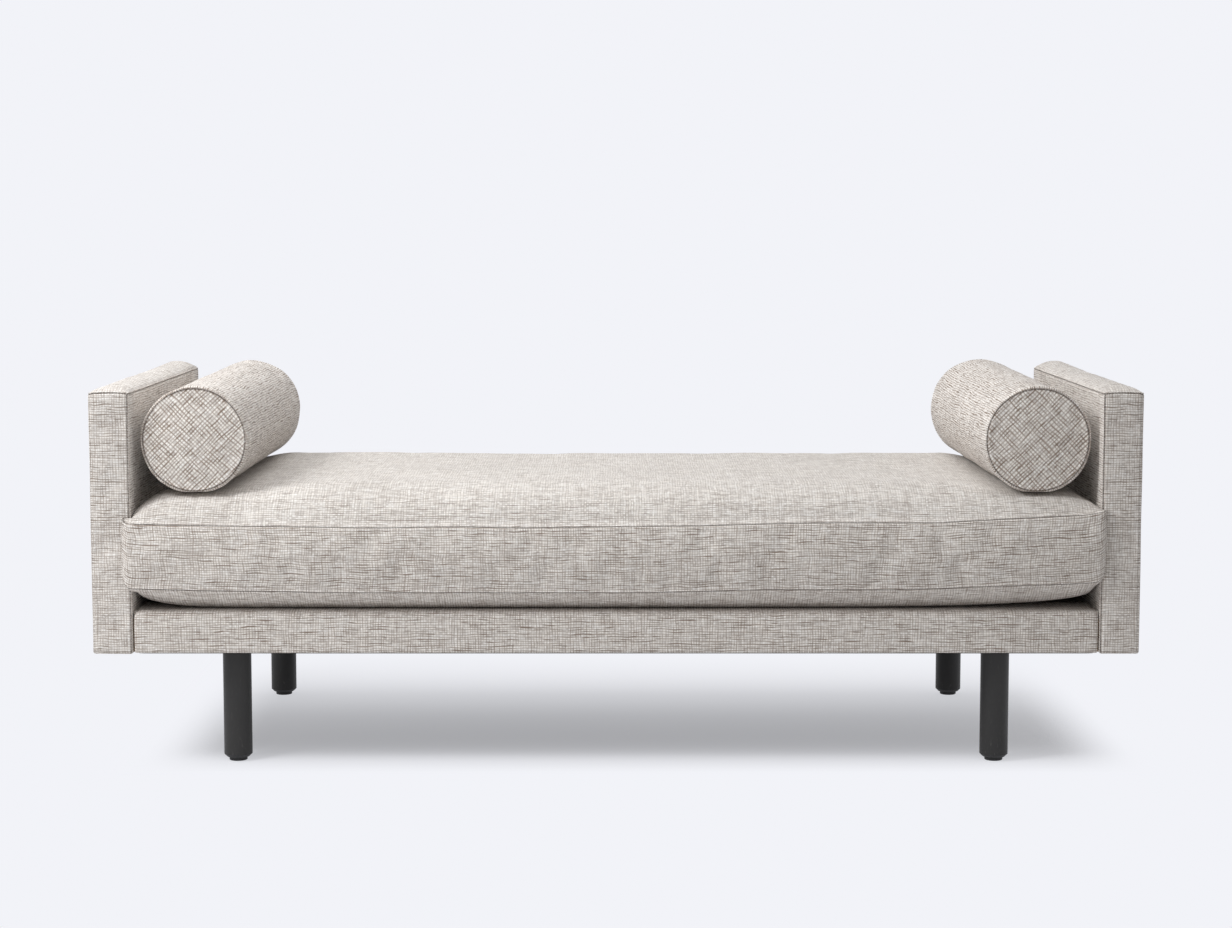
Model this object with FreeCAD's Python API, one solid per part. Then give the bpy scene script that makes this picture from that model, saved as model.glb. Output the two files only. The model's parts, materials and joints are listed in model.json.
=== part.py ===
import FreeCAD, Part
import math
import os

# A backless divan: a sprung and padded base between two low upholstered arms, on four
# round legs, with one loose seat cushion and two loose bolsters.
# Millimetres. The origin is on the floor under the middle of the divan.
# X runs along its length, Y from front (negative) to back, Z up. Left is negative X.

# Overall sizes
overall_width = 1830.0
arm_depth = 740.0
base_bottom = 200.0
base_height = 75.0
arm_seam_height = 658.0
arm_thickness = 70.0

# Layers of the upholstery
cover_thickness = 1.5
padding_thickness = 8.0
panel_thickness = 3.0
deck_cloth_thickness = 1.2
deck_pad_thickness = 6.0
insulator_thickness = 2.5
insulator_edge_gap = 2.0
dust_cover_thickness = 0.8
dust_cover_edge_gap = 5.0
base_edge_radius = 8.0
platform_return = 120.0
underside_return = 30.0

# Crown of the padded arm top: place as a share of the half depth, and rise above the seam
arm_crown_stations = (
    (-1.0, 1.5),
    (-0.9, 6.0),
    (-0.5, 7.5),
    (0.2, 8.5),
    (0.62, 12.0),
    (0.88, 14.5),
    (1.0, 8.0),
)

# Timber of the base and of the arms
rail_thickness = 28.0
cross_rail_thickness = 28.0
cross_rail_height = 42.0
bearer_width = 100.0
bearer_thickness = 36.0
corner_block_leg = 50.0
corner_block_drop = 4.0
arm_post_width = 60.0
arm_top_rail_height = 60.0
arm_bottom_rail_height = 70.0

# Wood screws of the base
screw_radius = 2.5
screw_length = 70.0
screw_head_radius = 4.5
screw_head_height = 4.0
screw_spacing = 26.0
bearer_screw_spacing = 60.0

# Zigzag springs and their clips
spring_count = 9
spring_wire_radius = 1.9
spring_loop_pitch = 25.0
spring_half_width = 25.0
spring_side_margin = 77.0
clip_thickness = 1.2
clip_width = 16.0
clip_depth = 12.0
clip_plate_width = 30.0
clip_plate_depth = 22.0

# Bolts that join the arms to the base
arm_bolt_radius = 4.0
arm_bolt_length = 85.0
arm_bolt_head_radius = 6.5
arm_bolt_head_height = 5.3
arm_bolt_height = 35.0
arm_bolt_block_gap = 62.5
arm_bolt_count = 3
bolt_clearance = 0.5
washer_radius = 9.0
washer_thickness = 1.6

# Tee nuts, for the arm bolts and for the leg studs
tee_nut_flange_radius = 11.0
tee_nut_flange_thickness = 1.6
tee_nut_barrel_wall = 1.5
tee_nut_barrel_length = 9.5

# Legs
leg_radius = 25.0
leg_wall = 2.0
leg_from_arm = 173.0
leg_cover_gap = 5.0
leg_hole_clearance = 1.0
top_plug_height = 10.0
stud_radius = 5.0
stud_rise = 34.0
bottom_plug_flange = 6.0
bottom_plug_chamfer = 5.0
bottom_plug_spigot = 15.0
insert_radius = 6.0
insert_length = 18.0
insert_recess = 1.5
stem_way_radius = 4.6

# Levelling feet, screwed fully in at rest
foot_pad_radius = 16.0
foot_pad_height = 6.0
foot_pad_chamfer = 1.0
foot_pad_gap = 0.5
stem_radius = 4.0
stem_length = 32.0
stem_flange_radius = 7.0
stem_flange_height = 2.0
stem_floor = 2.0
running_clearance = 0.05

# Seat cushion
seat_overhang = 20.0
seat_side_clearance = 1.5
seat_wall = 2.0
seat_core_clearance = 0.3
seat_flat_inset = 60.0
seat_shoulder_inset = 52.0
seat_shoulder_drop = 9.0
seat_seam_inset = 6.0
seat_underside_bulge = 7.0
seat_shoulder_bulge = 11.0
# Down its length, from each arm's inner face (positive is past it, in front of the arm):
# place, crown, top seam and lower seam above the deck, and how far front and back draw in
seat_stations = (
    (-285.0, 217.0, 151.0, 34.0, 0.0),
    (-205.0, 212.0, 152.0, 34.0, 0.2),
    (-155.0, 207.0, 154.0, 34.5, 0.5),
    (-108.0, 206.0, 157.0, 35.0, 1.0),
    (-60.0, 203.0, 161.0, 36.0, 1.8),
    (-25.0, 193.0, 165.0, 38.0, 3.5),
    (0.0, 180.0, 166.0, 42.0, 6.5),
    (13.0, 168.0, 158.0, 56.0, 11.0),
)

# Bolsters
bolster_radius = 91.0
bolster_seam_length = 690.0
bolster_seam_drop = 2.5
bolster_arm_gap = 17.0
bolster_rest_gap = 0.7
bolster_wall = 2.0
bolster_core_clearance = 0.3
bolster_draw_in = 45.0
bolster_end_crown = 7.0
bolster_end_flat_radius = 30.0
bolster_ring_steps = 4
bolster_zip_angle = 45.0

# Zips
zip_tape_width = 22.0
zip_tape_thickness = 0.6
zip_coil_width = 5.0
zip_coil_height = 2.0
zip_slot_width = 13.0
zip_tape_clearance = 0.3
zip_end_overlap = 8.0
seat_zip_length = 1040.0
bolster_zip_length = 570.0
slider_length = 18.0
slider_width = 11.0
slider_wall = 1.2
slider_clearance = 0.3
pull_width = 6.0
pull_length = 22.0
pull_thickness = 1.0
pull_bridge_length = 5.0

# Worked out from the sizes above
half_width = overall_width / 2
half_depth = arm_depth / 2
arm_inner = half_width - arm_thickness
deck_top = base_bottom + base_height
base_wood_bottom = base_bottom + dust_cover_thickness + cover_thickness
deck_cloth_bottom = deck_top - deck_cloth_thickness
deck_pad_bottom = deck_cloth_bottom - deck_pad_thickness
insulator_bottom = deck_pad_bottom - insulator_thickness
wire_height = insulator_bottom - spring_wire_radius
rail_top = wire_height - spring_wire_radius - clip_thickness
rail_height = rail_top - base_wood_bottom
rail_outer = half_depth - cover_thickness - padding_thickness
rail_inner = rail_outer - rail_thickness
end_rail_inner = arm_inner - rail_thickness
bearer_top = base_wood_bottom + bearer_thickness
arm_bolt_reach = rail_inner - corner_block_leg - arm_bolt_block_gap
arm_wood_bottom = base_bottom + cover_thickness
arm_wood_top = arm_seam_height - cover_thickness - padding_thickness
arm_wood_inner = arm_inner + cover_thickness + padding_thickness + panel_thickness
arm_wood_outer = half_width - cover_thickness - padding_thickness - panel_thickness
leg_from_centre = arm_inner - leg_from_arm
leg_depth = half_depth - underside_return - leg_cover_gap - leg_radius
plug_bottom = foot_pad_height + foot_pad_gap
tube_bottom = plug_bottom + bottom_plug_flange
seat_half_depth = half_depth + seat_overhang
seat_station_start = arm_inner + seat_stations[0][0]
slider_stand = zip_coil_height + slider_clearance + slider_wall + 2 * pull_thickness + slider_clearance
bolster_seam_radius = bolster_radius - bolster_seam_drop
bolster_from_arm = bolster_radius + bolster_arm_gap
bolster_centre_x = arm_inner - bolster_from_arm


def vector(x, y, z):
    return FreeCAD.Vector(x, y, z)


def box(x_range, y_range, z_range):
    corner = vector(x_range[0], y_range[0], z_range[0])
    return Part.makeBox(x_range[1] - x_range[0], y_range[1] - y_range[0], z_range[1] - z_range[0], corner)


def rod(radius, start, axis, length):
    return Part.makeCylinder(radius, length, start, axis)


def line(start, end):
    return Part.LineSegment(start, end).toShape()


def arc(start, middle, end):
    return Part.Arc(start, middle, end).toShape()


def joined(shapes):
    whole = shapes[0]
    for shape in shapes[1:]:
        whole = whole.fuse(shape)
    return whole.removeSplitter()


def without(shape, cutters):
    for cutter in cutters:
        shape = shape.cut(cutter)
    return shape


def across(shape):
    """The same shape on the other side of the divan's middle, along its length."""
    return shape.mirror(vector(0, 0, 0), vector(1, 0, 0))


def behind(shape):
    """The same shape on the other side of the divan's middle, along its depth."""
    return shape.mirror(vector(0, 0, 0), vector(0, 1, 0))


def both_sides(shapes):
    return list(shapes) + [across(shape) for shape in shapes]


def front_and_back(shapes):
    return list(shapes) + [behind(shape) for shape in shapes]


def save(name, shapes):
    """Write one piece, or one group of like pieces, as a node of its own."""
    shape = shapes[0] if len(shapes) == 1 else Part.makeCompound(shapes)
    shape.exportStep(os.path.join("parts", name + ".step"))


def tee_nut(start, axis, bore_radius):
    """A tee nut with its flange's outer face at start and its barrel along axis."""
    flange = rod(tee_nut_flange_radius, start, axis, tee_nut_flange_thickness)
    length = tee_nut_flange_thickness + tee_nut_barrel_length
    barrel = rod(bore_radius + tee_nut_barrel_wall, start, axis, length)
    bore = rod(bore_radius, start, axis, length)
    return flange.fuse(barrel).removeSplitter().cut(bore)


def tee_nut_seat(start, axis, bore_radius):
    """The wood that a tee nut takes the place of."""
    flange = rod(tee_nut_flange_radius, start, axis, tee_nut_flange_thickness)
    length = tee_nut_flange_thickness + tee_nut_barrel_length
    return flange.fuse(rod(bore_radius + tee_nut_barrel_wall, start, axis, length))


# Base frame

def screw_places():
    """Each wood screw's X and Z: through the front rail, into an end rail, bearer or cross rail."""
    end_x = arm_inner - rail_thickness / 2
    end_z = base_wood_bottom + rail_height / 2
    bearer_z = base_wood_bottom + bearer_thickness / 2
    places = [(0.0, base_wood_bottom + cross_rail_height / 2)]
    for side in (-1, 1):
        for step in (-0.5, 0.5):
            places.append((side * end_x, end_z + step * screw_spacing))
            places.append((side * leg_from_centre + step * bearer_screw_spacing, bearer_z))
    return places


def frame_screw(x, z):
    start = vector(x, -rail_outer, z)
    head = rod(screw_head_radius, start, vector(0, 1, 0), screw_head_height)
    shank = rod(screw_radius, start, vector(0, 1, 0), screw_length)
    return head.fuse(shank).removeSplitter()


def arm_bolt_places():
    spacing = 2 * arm_bolt_reach / (arm_bolt_count - 1)
    return [-arm_bolt_reach + index * spacing for index in range(arm_bolt_count)]


def arm_bolt_axis_z():
    return base_bottom + arm_bolt_height


def arm_bolt_way(radius, x_range):
    """Holes for the right arm's bolts, between two places along X."""
    length = x_range[1] - x_range[0]
    starts = [vector(x_range[0], y, arm_bolt_axis_z()) for y in arm_bolt_places()]
    return [rod(radius, start, vector(1, 0, 0), length) for start in starts]


def front_rail(screws):
    rail = box((-arm_inner, arm_inner), (-rail_outer, -rail_inner), (base_wood_bottom, rail_top))
    return without(rail, screws)


def end_rail(screws):
    rail = box((end_rail_inner, arm_inner), (-rail_inner, rail_inner), (base_wood_bottom, rail_top))
    ways = arm_bolt_way(arm_bolt_radius + bolt_clearance, (end_rail_inner, arm_inner))
    return without(rail, screws + ways)


def centre_cross_rail(screws):
    half = cross_rail_thickness / 2
    top = base_wood_bottom + cross_rail_height
    return without(box((-half, half), (-rail_inner, rail_inner), (base_wood_bottom, top)), screws)


def leg_bearer(screws):
    half = bearer_width / 2
    x_range = (leg_from_centre - half, leg_from_centre + half)
    bearer = box(x_range, (-rail_inner, rail_inner), (base_wood_bottom, bearer_top))
    seats = front_and_back([stud_seat()])
    return without(bearer, screws + seats)


def stud_seat():
    """The way for one leg's stud through its bearer, with the tee nut's seat at its top."""
    start = vector(leg_from_centre, -leg_depth, base_wood_bottom)
    way = rod(stud_radius + bolt_clearance, start, vector(0, 0, 1), bearer_thickness)
    top = vector(leg_from_centre, -leg_depth, bearer_top)
    return way.fuse(tee_nut_seat(top, vector(0, 0, -1), stud_radius))


def corner_block():
    """A glued triangular block in the front right corner of the base frame."""
    x, y = end_rail_inner, -rail_inner
    low = base_wood_bottom + corner_block_drop
    corners = [
        vector(x, y, low),
        vector(x - corner_block_leg, y, low),
        vector(x, y + corner_block_leg, low),
    ]
    face = Part.Face(Part.makePolygon(corners + corners[:1]))
    return face.extrude(vector(0, 0, rail_top - corner_block_drop - low))


def make_base_frame():
    fronts = [frame_screw(x, z) for x, z in screw_places()]
    screws = front_and_back(fronts)
    front = front_rail(fronts)
    save("front_rail", [front])
    save("rear_rail", [behind(front)])
    right_end = end_rail(screws)
    save("right_end_rail", [right_end])
    save("left_end_rail", [across(right_end)])
    save("centre_cross_rail", [centre_cross_rail(screws)])
    right_bearer = leg_bearer(screws)
    save("right_leg_bearer", [right_bearer])
    save("left_leg_bearer", [across(right_bearer)])
    save("corner_blocks", both_sides(front_and_back([corner_block()])))
    save("frame_screws", screws)


# Springs and deck

def spring_run():
    """Half the distance between the clips' grooves, front to back, and the loops between them."""
    reach = (rail_outer + rail_inner) / 2
    loops = 2 * round(reach / spring_loop_pitch)
    return reach, loops


def zigzag_spring(x):
    """Flat zigzag wire: straight runs across, joined by half turns, front to back."""
    reach, loops = spring_run()
    pitch = 2 * reach / loops
    turn = pitch / 2
    straight = spring_half_width - turn
    edges = []
    for index in range(loops + 1):
        y = -reach + index * pitch
        side = 1 if index % 2 == 0 else -1
        start = vector(x - side * straight, y, wire_height)
        end = vector(x + side * straight, y, wire_height)
        edges.append(line(start, end))
        if index < loops:
            middle = vector(x + side * (straight + turn), y + turn, wire_height)
            edges.append(arc(end, middle, vector(end.x, y + pitch, wire_height)))
    path = Part.Wire(edges)
    ring = Part.makeCircle(spring_wire_radius, vector(x - straight, -reach, wire_height), vector(1, 0, 0))
    return path.makePipeShell([Part.Wire([ring])], True, False)


def spring_clip(x):
    """A plate nailed on the front rail, with a closed loop that holds the wire."""
    reach = spring_run()[0]
    half_plate = clip_plate_width / 2
    plate_back = -reach + clip_plate_depth / 2
    x_plate = (x - half_plate, x + half_plate)
    plate = box(x_plate, (plate_back - clip_plate_depth, plate_back), (rail_top, rail_top + clip_thickness))
    loop_top = wire_height + spring_wire_radius + clip_thickness
    x_loop = (x - clip_width / 2, x + clip_width / 2)
    loop = box(x_loop, (-reach - clip_depth / 2, -reach + clip_depth / 2), (rail_top, loop_top))
    way = rod(spring_wire_radius, vector(x_loop[0], -reach, wire_height), vector(1, 0, 0), clip_width)
    return plate.fuse(loop).removeSplitter().cut(way)


def make_deck():
    reach = end_rail_inner - spring_side_margin
    step = 2 * reach / (spring_count - 1)
    places = [-reach + index * step for index in range(spring_count)]
    save("seat_springs", [zigzag_spring(x) for x in places])
    save("spring_clips", front_and_back([spring_clip(x) for x in places]))
    felt_x = end_rail_inner - insulator_edge_gap
    felt_y = rail_inner - insulator_edge_gap
    felt = box((-felt_x, felt_x), (-felt_y, felt_y), (insulator_bottom, deck_pad_bottom))
    save("spring_insulator", [felt])
    pad_y = (-rail_outer, rail_outer)
    save("deck_pad", [box((-arm_inner, arm_inner), pad_y, (deck_pad_bottom, deck_cloth_bottom))])
    cloth_y = half_depth - platform_return
    cloth = box((-arm_inner, arm_inner), (-cloth_y, cloth_y), (deck_cloth_bottom, deck_top))
    save("deck_cloth", [cloth])


# Base upholstery

def rounded_band(outer_y, inner_y, low, high, radius):
    """A band along the front of the base, its upper outer edge rounded, from inner_y to outer_y."""
    slant = radius * (1 - math.sqrt(0.5))
    bottom_inner = vector(-arm_inner, -inner_y, low)
    bottom_outer = vector(-arm_inner, -outer_y, low)
    edge_low = vector(-arm_inner, -outer_y, high - radius)
    edge_middle = vector(-arm_inner, -outer_y + slant, high - slant)
    edge_high = vector(-arm_inner, -outer_y + radius, high)
    top_inner = vector(-arm_inner, -inner_y, high)
    edges = [
        line(bottom_inner, bottom_outer),
        line(bottom_outer, edge_low),
        arc(edge_low, edge_middle, edge_high),
        line(edge_high, top_inner),
        line(top_inner, bottom_inner),
    ]
    return Part.Face(Part.Wire(edges)).extrude(vector(2 * arm_inner, 0, 0))


def base_cover_band():
    """The tweed round the front rail: platform strip, front and the strip turned under."""
    low = base_bottom + dust_cover_thickness
    whole = rounded_band(half_depth, half_depth - platform_return, low, deck_top, base_edge_radius)
    inside_y = half_depth - cover_thickness
    inside_radius = base_edge_radius - cover_thickness
    inner_y = half_depth - platform_return
    hollow = rounded_band(inside_y, inner_y, base_wood_bottom, deck_cloth_bottom, inside_radius)
    open_back = box(
        (-arm_inner, arm_inner),
        (-half_depth + underside_return, -inner_y),
        (low, base_wood_bottom),
    )
    return without(whole, [hollow, open_back])


def rail_padding():
    inside_y = half_depth - cover_thickness
    radius = base_edge_radius - cover_thickness
    return rounded_band(inside_y, rail_outer, base_wood_bottom, deck_cloth_bottom, radius)


def dust_cover():
    x = arm_inner - dust_cover_edge_gap
    y = half_depth - dust_cover_edge_gap
    sheet = box((-x, x), (-y, y), (base_bottom, base_bottom + dust_cover_thickness))
    start = vector(leg_from_centre, -leg_depth, base_bottom)
    hole = rod(leg_radius + leg_hole_clearance, start, vector(0, 0, 1), dust_cover_thickness)
    return without(sheet, both_sides(front_and_back([hole])))


def make_base_upholstery():
    save("base_cover", front_and_back([base_cover_band()]))
    save("rail_padding", front_and_back([rail_padding()]))
    save("dust_cover", [dust_cover()])


# Arms, built on the right and mirrored

def arm_crown_section(y, rise, inset):
    """Across the arm at one depth: the chord at the seam's height, and the crown over it."""
    low, high = arm_inner + inset, half_width - inset
    seam = arm_seam_height - inset
    start, end = vector(low, y, seam), vector(high, y, seam)
    middle = vector((low + high) / 2, y, seam + rise)
    return Part.Wire([line(start, end), arc(end, middle, start)])


def arm_body(inset):
    """The arm's outside, drawn in by inset on every face: a box with a crowned top."""
    reach = half_depth - inset
    x_range = (arm_inner + inset, half_width - inset)
    block = box(x_range, (-reach, reach), (base_bottom + inset, arm_seam_height - inset))
    sections = [arm_crown_section(place * reach, rise, inset) for place, rise in arm_crown_stations]
    return block.fuse(Part.makeLoft(sections, True, False))


def arm_hollow():
    """What is inside an arm's padding: the frame with its two faces of hardboard."""
    x_range = (arm_wood_inner - panel_thickness, arm_wood_outer + panel_thickness)
    return box(x_range, (-rail_outer, rail_outer), (arm_wood_bottom, arm_wood_top))


def arm_bolt(y):
    seat = vector(end_rail_inner, y, arm_bolt_axis_z())
    head_x = end_rail_inner - washer_thickness - arm_bolt_head_height
    head = rod(arm_bolt_head_radius, vector(head_x, y, seat.z), vector(1, 0, 0), arm_bolt_head_height)
    shank_start = vector(end_rail_inner - washer_thickness, y, seat.z)
    shank = rod(arm_bolt_radius, shank_start, vector(1, 0, 0), arm_bolt_length)
    washer = rod(washer_radius, shank_start, vector(1, 0, 0), washer_thickness)
    return [head.fuse(shank).removeSplitter(), washer.cut(shank)]


def arm_nut_start(y):
    return vector(arm_wood_outer, y, arm_bolt_axis_z())


def make_arms():
    inward = vector(-1, 0, 0)
    way_radius = arm_bolt_radius + bolt_clearance
    rail_x = (arm_wood_inner, arm_wood_outer)
    rail_reach = rail_outer - arm_post_width
    rail_y = (-rail_reach, rail_reach)
    post = box(rail_x, (-rail_outer, -rail_reach), (arm_wood_bottom, arm_wood_top))
    top_rail = box(rail_x, rail_y, (arm_wood_top - arm_top_rail_height, arm_wood_top))
    bottom_rail = box(rail_x, rail_y, (arm_wood_bottom, arm_wood_bottom + arm_bottom_rail_height))
    seats = [tee_nut_seat(arm_nut_start(y), inward, arm_bolt_radius) for y in arm_bolt_places()]
    bottom_rail = without(bottom_rail, arm_bolt_way(way_radius, rail_x) + seats)
    panel_y = (-rail_outer, rail_outer)
    panel_z = (arm_wood_bottom, arm_wood_top)
    inner_panel = box((arm_wood_inner - panel_thickness, arm_wood_inner), panel_y, panel_z)
    inner_ways = arm_bolt_way(way_radius, (arm_inner, arm_wood_inner))
    inner_panel = without(inner_panel, inner_ways)
    outer_panel = box((arm_wood_outer, arm_wood_outer + panel_thickness), panel_y, panel_z)
    skin = arm_body(0.0)
    lining = arm_body(cover_thickness)
    padding = without(lining, [arm_hollow()] + inner_ways)
    cover = without(skin, [lining] + inner_ways)
    pieces = {
        "arm_posts": front_and_back([post]),
        "arm_rails": [top_rail, bottom_rail],
        "arm_inner_panel": [inner_panel],
        "arm_outer_panel": [outer_panel],
        "arm_padding": [padding],
        "arm_cover": [cover],
    }
    for name, solids in pieces.items():
        save("right_" + name, solids)
        save("left_" + name, [across(solid) for solid in solids])
    bolts = [solid for y in arm_bolt_places() for solid in arm_bolt(y)]
    save("arm_bolts", both_sides(bolts))
    nuts = [tee_nut(arm_nut_start(y), inward, arm_bolt_radius) for y in arm_bolt_places()]
    save("arm_tee_nuts", both_sides(nuts))


# Legs and levelling feet, built at the front right and mirrored

def leg_point(z):
    return vector(leg_from_centre, -leg_depth, z)


def upright(radius, low, high):
    return rod(radius, leg_point(low), vector(0, 0, 1), high - low)


def leg_tube():
    tube = upright(leg_radius, tube_bottom, base_wood_bottom)
    return tube.cut(upright(leg_radius - leg_wall, tube_bottom, base_wood_bottom))


def leg_top_plug():
    plug = upright(leg_radius - leg_wall, base_wood_bottom - top_plug_height, base_wood_bottom)
    return plug.cut(upright(stud_radius, base_wood_bottom - top_plug_height, base_wood_bottom))


def leg_stud():
    return upright(stud_radius, base_wood_bottom - top_plug_height, base_wood_bottom + stud_rise)


def leg_bottom_plug():
    """A plug with a chamfered rim under the tube, and a spigot up inside it."""
    base = leg_point(plug_bottom)
    low_radius = leg_radius - bottom_plug_chamfer
    cone = Part.makeCone(low_radius, leg_radius, bottom_plug_chamfer, base)
    rim = upright(leg_radius, plug_bottom + bottom_plug_chamfer, tube_bottom)
    spigot_top = tube_bottom + bottom_plug_spigot
    spigot = upright(leg_radius - leg_wall, tube_bottom, spigot_top)
    way = upright(stem_way_radius, plug_bottom, spigot_top)
    seat_low = plug_bottom + insert_recess
    seat = upright(insert_radius, seat_low, seat_low + insert_length)
    return without(joined([cone, rim, spigot]), [way, seat])


def leg_insert():
    low = plug_bottom + insert_recess
    sleeve = upright(insert_radius, low, low + insert_length)
    return sleeve.cut(upright(stem_radius + running_clearance, low, low + insert_length))


def foot_pad():
    """A round glide with a pocket that keeps the stem's flange."""
    base = leg_point(0.0)
    low_radius = foot_pad_radius - foot_pad_chamfer
    cone = Part.makeCone(low_radius, foot_pad_radius, foot_pad_chamfer, base)
    body = cone.fuse(upright(foot_pad_radius, foot_pad_chamfer, foot_pad_height)).removeSplitter()
    pocket_top = stem_floor + stem_flange_height + 2 * running_clearance
    pocket = upright(stem_flange_radius + running_clearance, stem_floor, pocket_top)
    neck = upright(stem_radius + running_clearance, pocket_top, foot_pad_height)
    return without(body, [pocket, neck])


def foot_stem():
    low = stem_floor + running_clearance
    flange = upright(stem_flange_radius, low, low + stem_flange_height)
    return flange.fuse(upright(stem_radius, low, low + stem_length)).removeSplitter()


def make_legs():
    corners = {
        "front_right": lambda shape: shape,
        "front_left": across,
        "rear_right": behind,
        "rear_left": lambda shape: across(behind(shape)),
    }
    tube, pad, stem = leg_tube(), foot_pad(), foot_stem()
    for name, placed in corners.items():
        save(name + "_leg", [placed(tube)])
        save(name + "_foot_pad", [placed(pad)])
        save(name + "_foot_stem", [placed(stem)])
    nut = tee_nut(leg_point(bearer_top), vector(0, 0, -1), stud_radius)
    groups = {
        "leg_top_plugs": leg_top_plug(),
        "leg_studs": leg_stud(),
        "leg_tee_nuts": nut,
        "leg_bottom_plugs": leg_bottom_plug(),
        "leg_inserts": leg_insert(),
    }
    for name, solid in groups.items():
        save(name, both_sides(front_and_back([solid])))


# Zips. Each is made about its own line: u along it, v across and w outward from the tape's face

def zip_chain(length):
    tape_half, coil_half = zip_tape_width / 2, zip_coil_width / 2
    reach = length / 2 + zip_end_overlap
    tape = box((-reach, reach), (-tape_half, tape_half), (-zip_tape_thickness, 0.0))
    coil = box((-length / 2, length / 2), (-coil_half, coil_half), (0.0, zip_coil_height))
    return tape.fuse(coil).removeSplitter()


def zip_slider(u):
    """Top plate and flanges over the coil, with a flat pull on a bridge, at u along the zip."""
    half_width_v, half_length = slider_width / 2, slider_length / 2
    roof_low = zip_coil_height + slider_clearance
    roof_high = roof_low + slider_wall
    u_range = (u - half_length, u + half_length)
    block = box(u_range, (-half_width_v, half_width_v), (slider_clearance, roof_high))
    inside = half_width_v - slider_wall
    block = block.cut(box(u_range, (-inside, inside), (slider_clearance, roof_low)))
    pull_half = pull_width / 2
    bridge_high = roof_high + pull_thickness + slider_clearance
    bridge_u = (u - pull_bridge_length / 2, u + pull_bridge_length / 2)
    bridge = box(bridge_u, (-pull_half, pull_half), (roof_high, bridge_high))
    pull_u = (u - pull_bridge_length / 2, u - pull_bridge_length / 2 + pull_length)
    pull = box(pull_u, (-pull_half, pull_half), (bridge_high, bridge_high + pull_thickness))
    return joined([block, bridge, pull])


def zip_slot(length, depth):
    """The opening in the cover that shows the coil and lets the slider run."""
    half = zip_slot_width / 2
    return box((-length / 2, length / 2), (-half, half), (-zip_tape_thickness, depth))


def zip_pocket(length, depth):
    """The room under the cover for the tape."""
    reach = length / 2 + zip_end_overlap + zip_tape_clearance
    half = zip_tape_width / 2 + zip_tape_clearance
    return box((-reach, reach), (-half, half), (-zip_tape_thickness - zip_tape_clearance, depth))


def placed_on(shape, origin, along, outward):
    """Move a zip's shape so that u runs along, w outward and its middle is at origin."""
    sideways = outward.cross(along)
    matrix = FreeCAD.Matrix(
        along.x, sideways.x, outward.x, origin.x,
        along.y, sideways.y, outward.y, origin.y,
        along.z, sideways.z, outward.z, origin.z,
        0, 0, 0, 1,
    )
    return shape.transformed(matrix)


# Seat cushion

def seat_section(x, crown, top_seam, low_seam, draw_in, inset, rear_relief):
    """Across the seat cushion at x: flat underside, bulged boxing, round shoulders and crown."""
    floor = deck_top + inset
    low = deck_top + low_seam + inset / 2
    high = deck_top + top_seam - inset / 2
    top = deck_top + crown - inset
    shoulder_top = top - seat_shoulder_drop * crown / seat_stations[0][1]
    shoulder_y = seat_half_depth - seat_seam_inset - draw_in - seat_shoulder_inset
    flat_y = seat_half_depth - seat_flat_inset - draw_in
    points = {}
    for side, relief in ((-1, 0.0), (1, rear_relief)):
        seam_y = seat_half_depth - seat_seam_inset - draw_in - inset - relief / 2
        bulge_y = seat_half_depth - draw_in - inset - relief
        low_seam_point = vector(x, side * seam_y, low)
        top_seam_point = vector(x, side * seam_y, high)
        flat_point = vector(x, side * flat_y, floor)
        shoulder_point = vector(x, side * shoulder_y, shoulder_top)
        points[side] = {
            "flat": flat_point,
            "low": low_seam_point,
            "bulge": vector(x, side * bulge_y, (low + high) / 2),
            "high": top_seam_point,
            "shoulder": shoulder_point,
            "under": bowed(flat_point, low_seam_point, side, -1, seat_underside_bulge),
            "over": bowed(top_seam_point, shoulder_point, side, 1, seat_shoulder_bulge),
        }
    front, rear = points[-1], points[1]
    return Part.Wire([
        line(front["flat"], rear["flat"]),
        arc(rear["flat"], rear["under"], rear["low"]),
        arc(rear["low"], rear["bulge"], rear["high"]),
        arc(rear["high"], rear["over"], rear["shoulder"]),
        arc(rear["shoulder"], vector(x, 0.0, top), front["shoulder"]),
        arc(front["shoulder"], front["over"], front["high"]),
        arc(front["high"], front["bulge"], front["low"]),
        arc(front["low"], front["under"], front["flat"]),
    ])


def bowed(start, end, side, rise, bulge):
    """The middle of an arc from start to end that bows outward, to one side and up or down."""
    middle = (start + end) * 0.5
    run, climb = abs(end.y - start.y), abs(end.z - start.z)
    chord = math.hypot(run, climb)
    return vector(middle.x, middle.y + side * bulge * climb / chord, middle.z + rise * bulge * run / chord)


def seat_body(inset, clearance, rear_relief):
    """The seat cushion's shape, drawn in by inset, with clearance to the arms that it passes."""
    first = seat_stations[0]
    straight = seat_section(-seat_station_start, *first[1:], inset, rear_relief)
    middle = Part.Face(straight).extrude(vector(2 * seat_station_start, 0, 0))
    sections = []
    for place, crown, top_seam, low_seam, draw_in in seat_stations:
        x = arm_inner + place
        if place == seat_stations[-1][0]:
            x -= inset
        sections.append(seat_section(x, crown, top_seam, low_seam, draw_in, inset, rear_relief))
    right = Part.makeLoft(sections, True, True)
    x_gap = arm_inner - clearance
    y_gap = half_depth + clearance
    room = box((x_gap, overall_width), (-y_gap, y_gap), (0.0, 2 * arm_seam_height))
    right = right.cut(room)
    return middle.fuse([right, across(right)])


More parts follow.
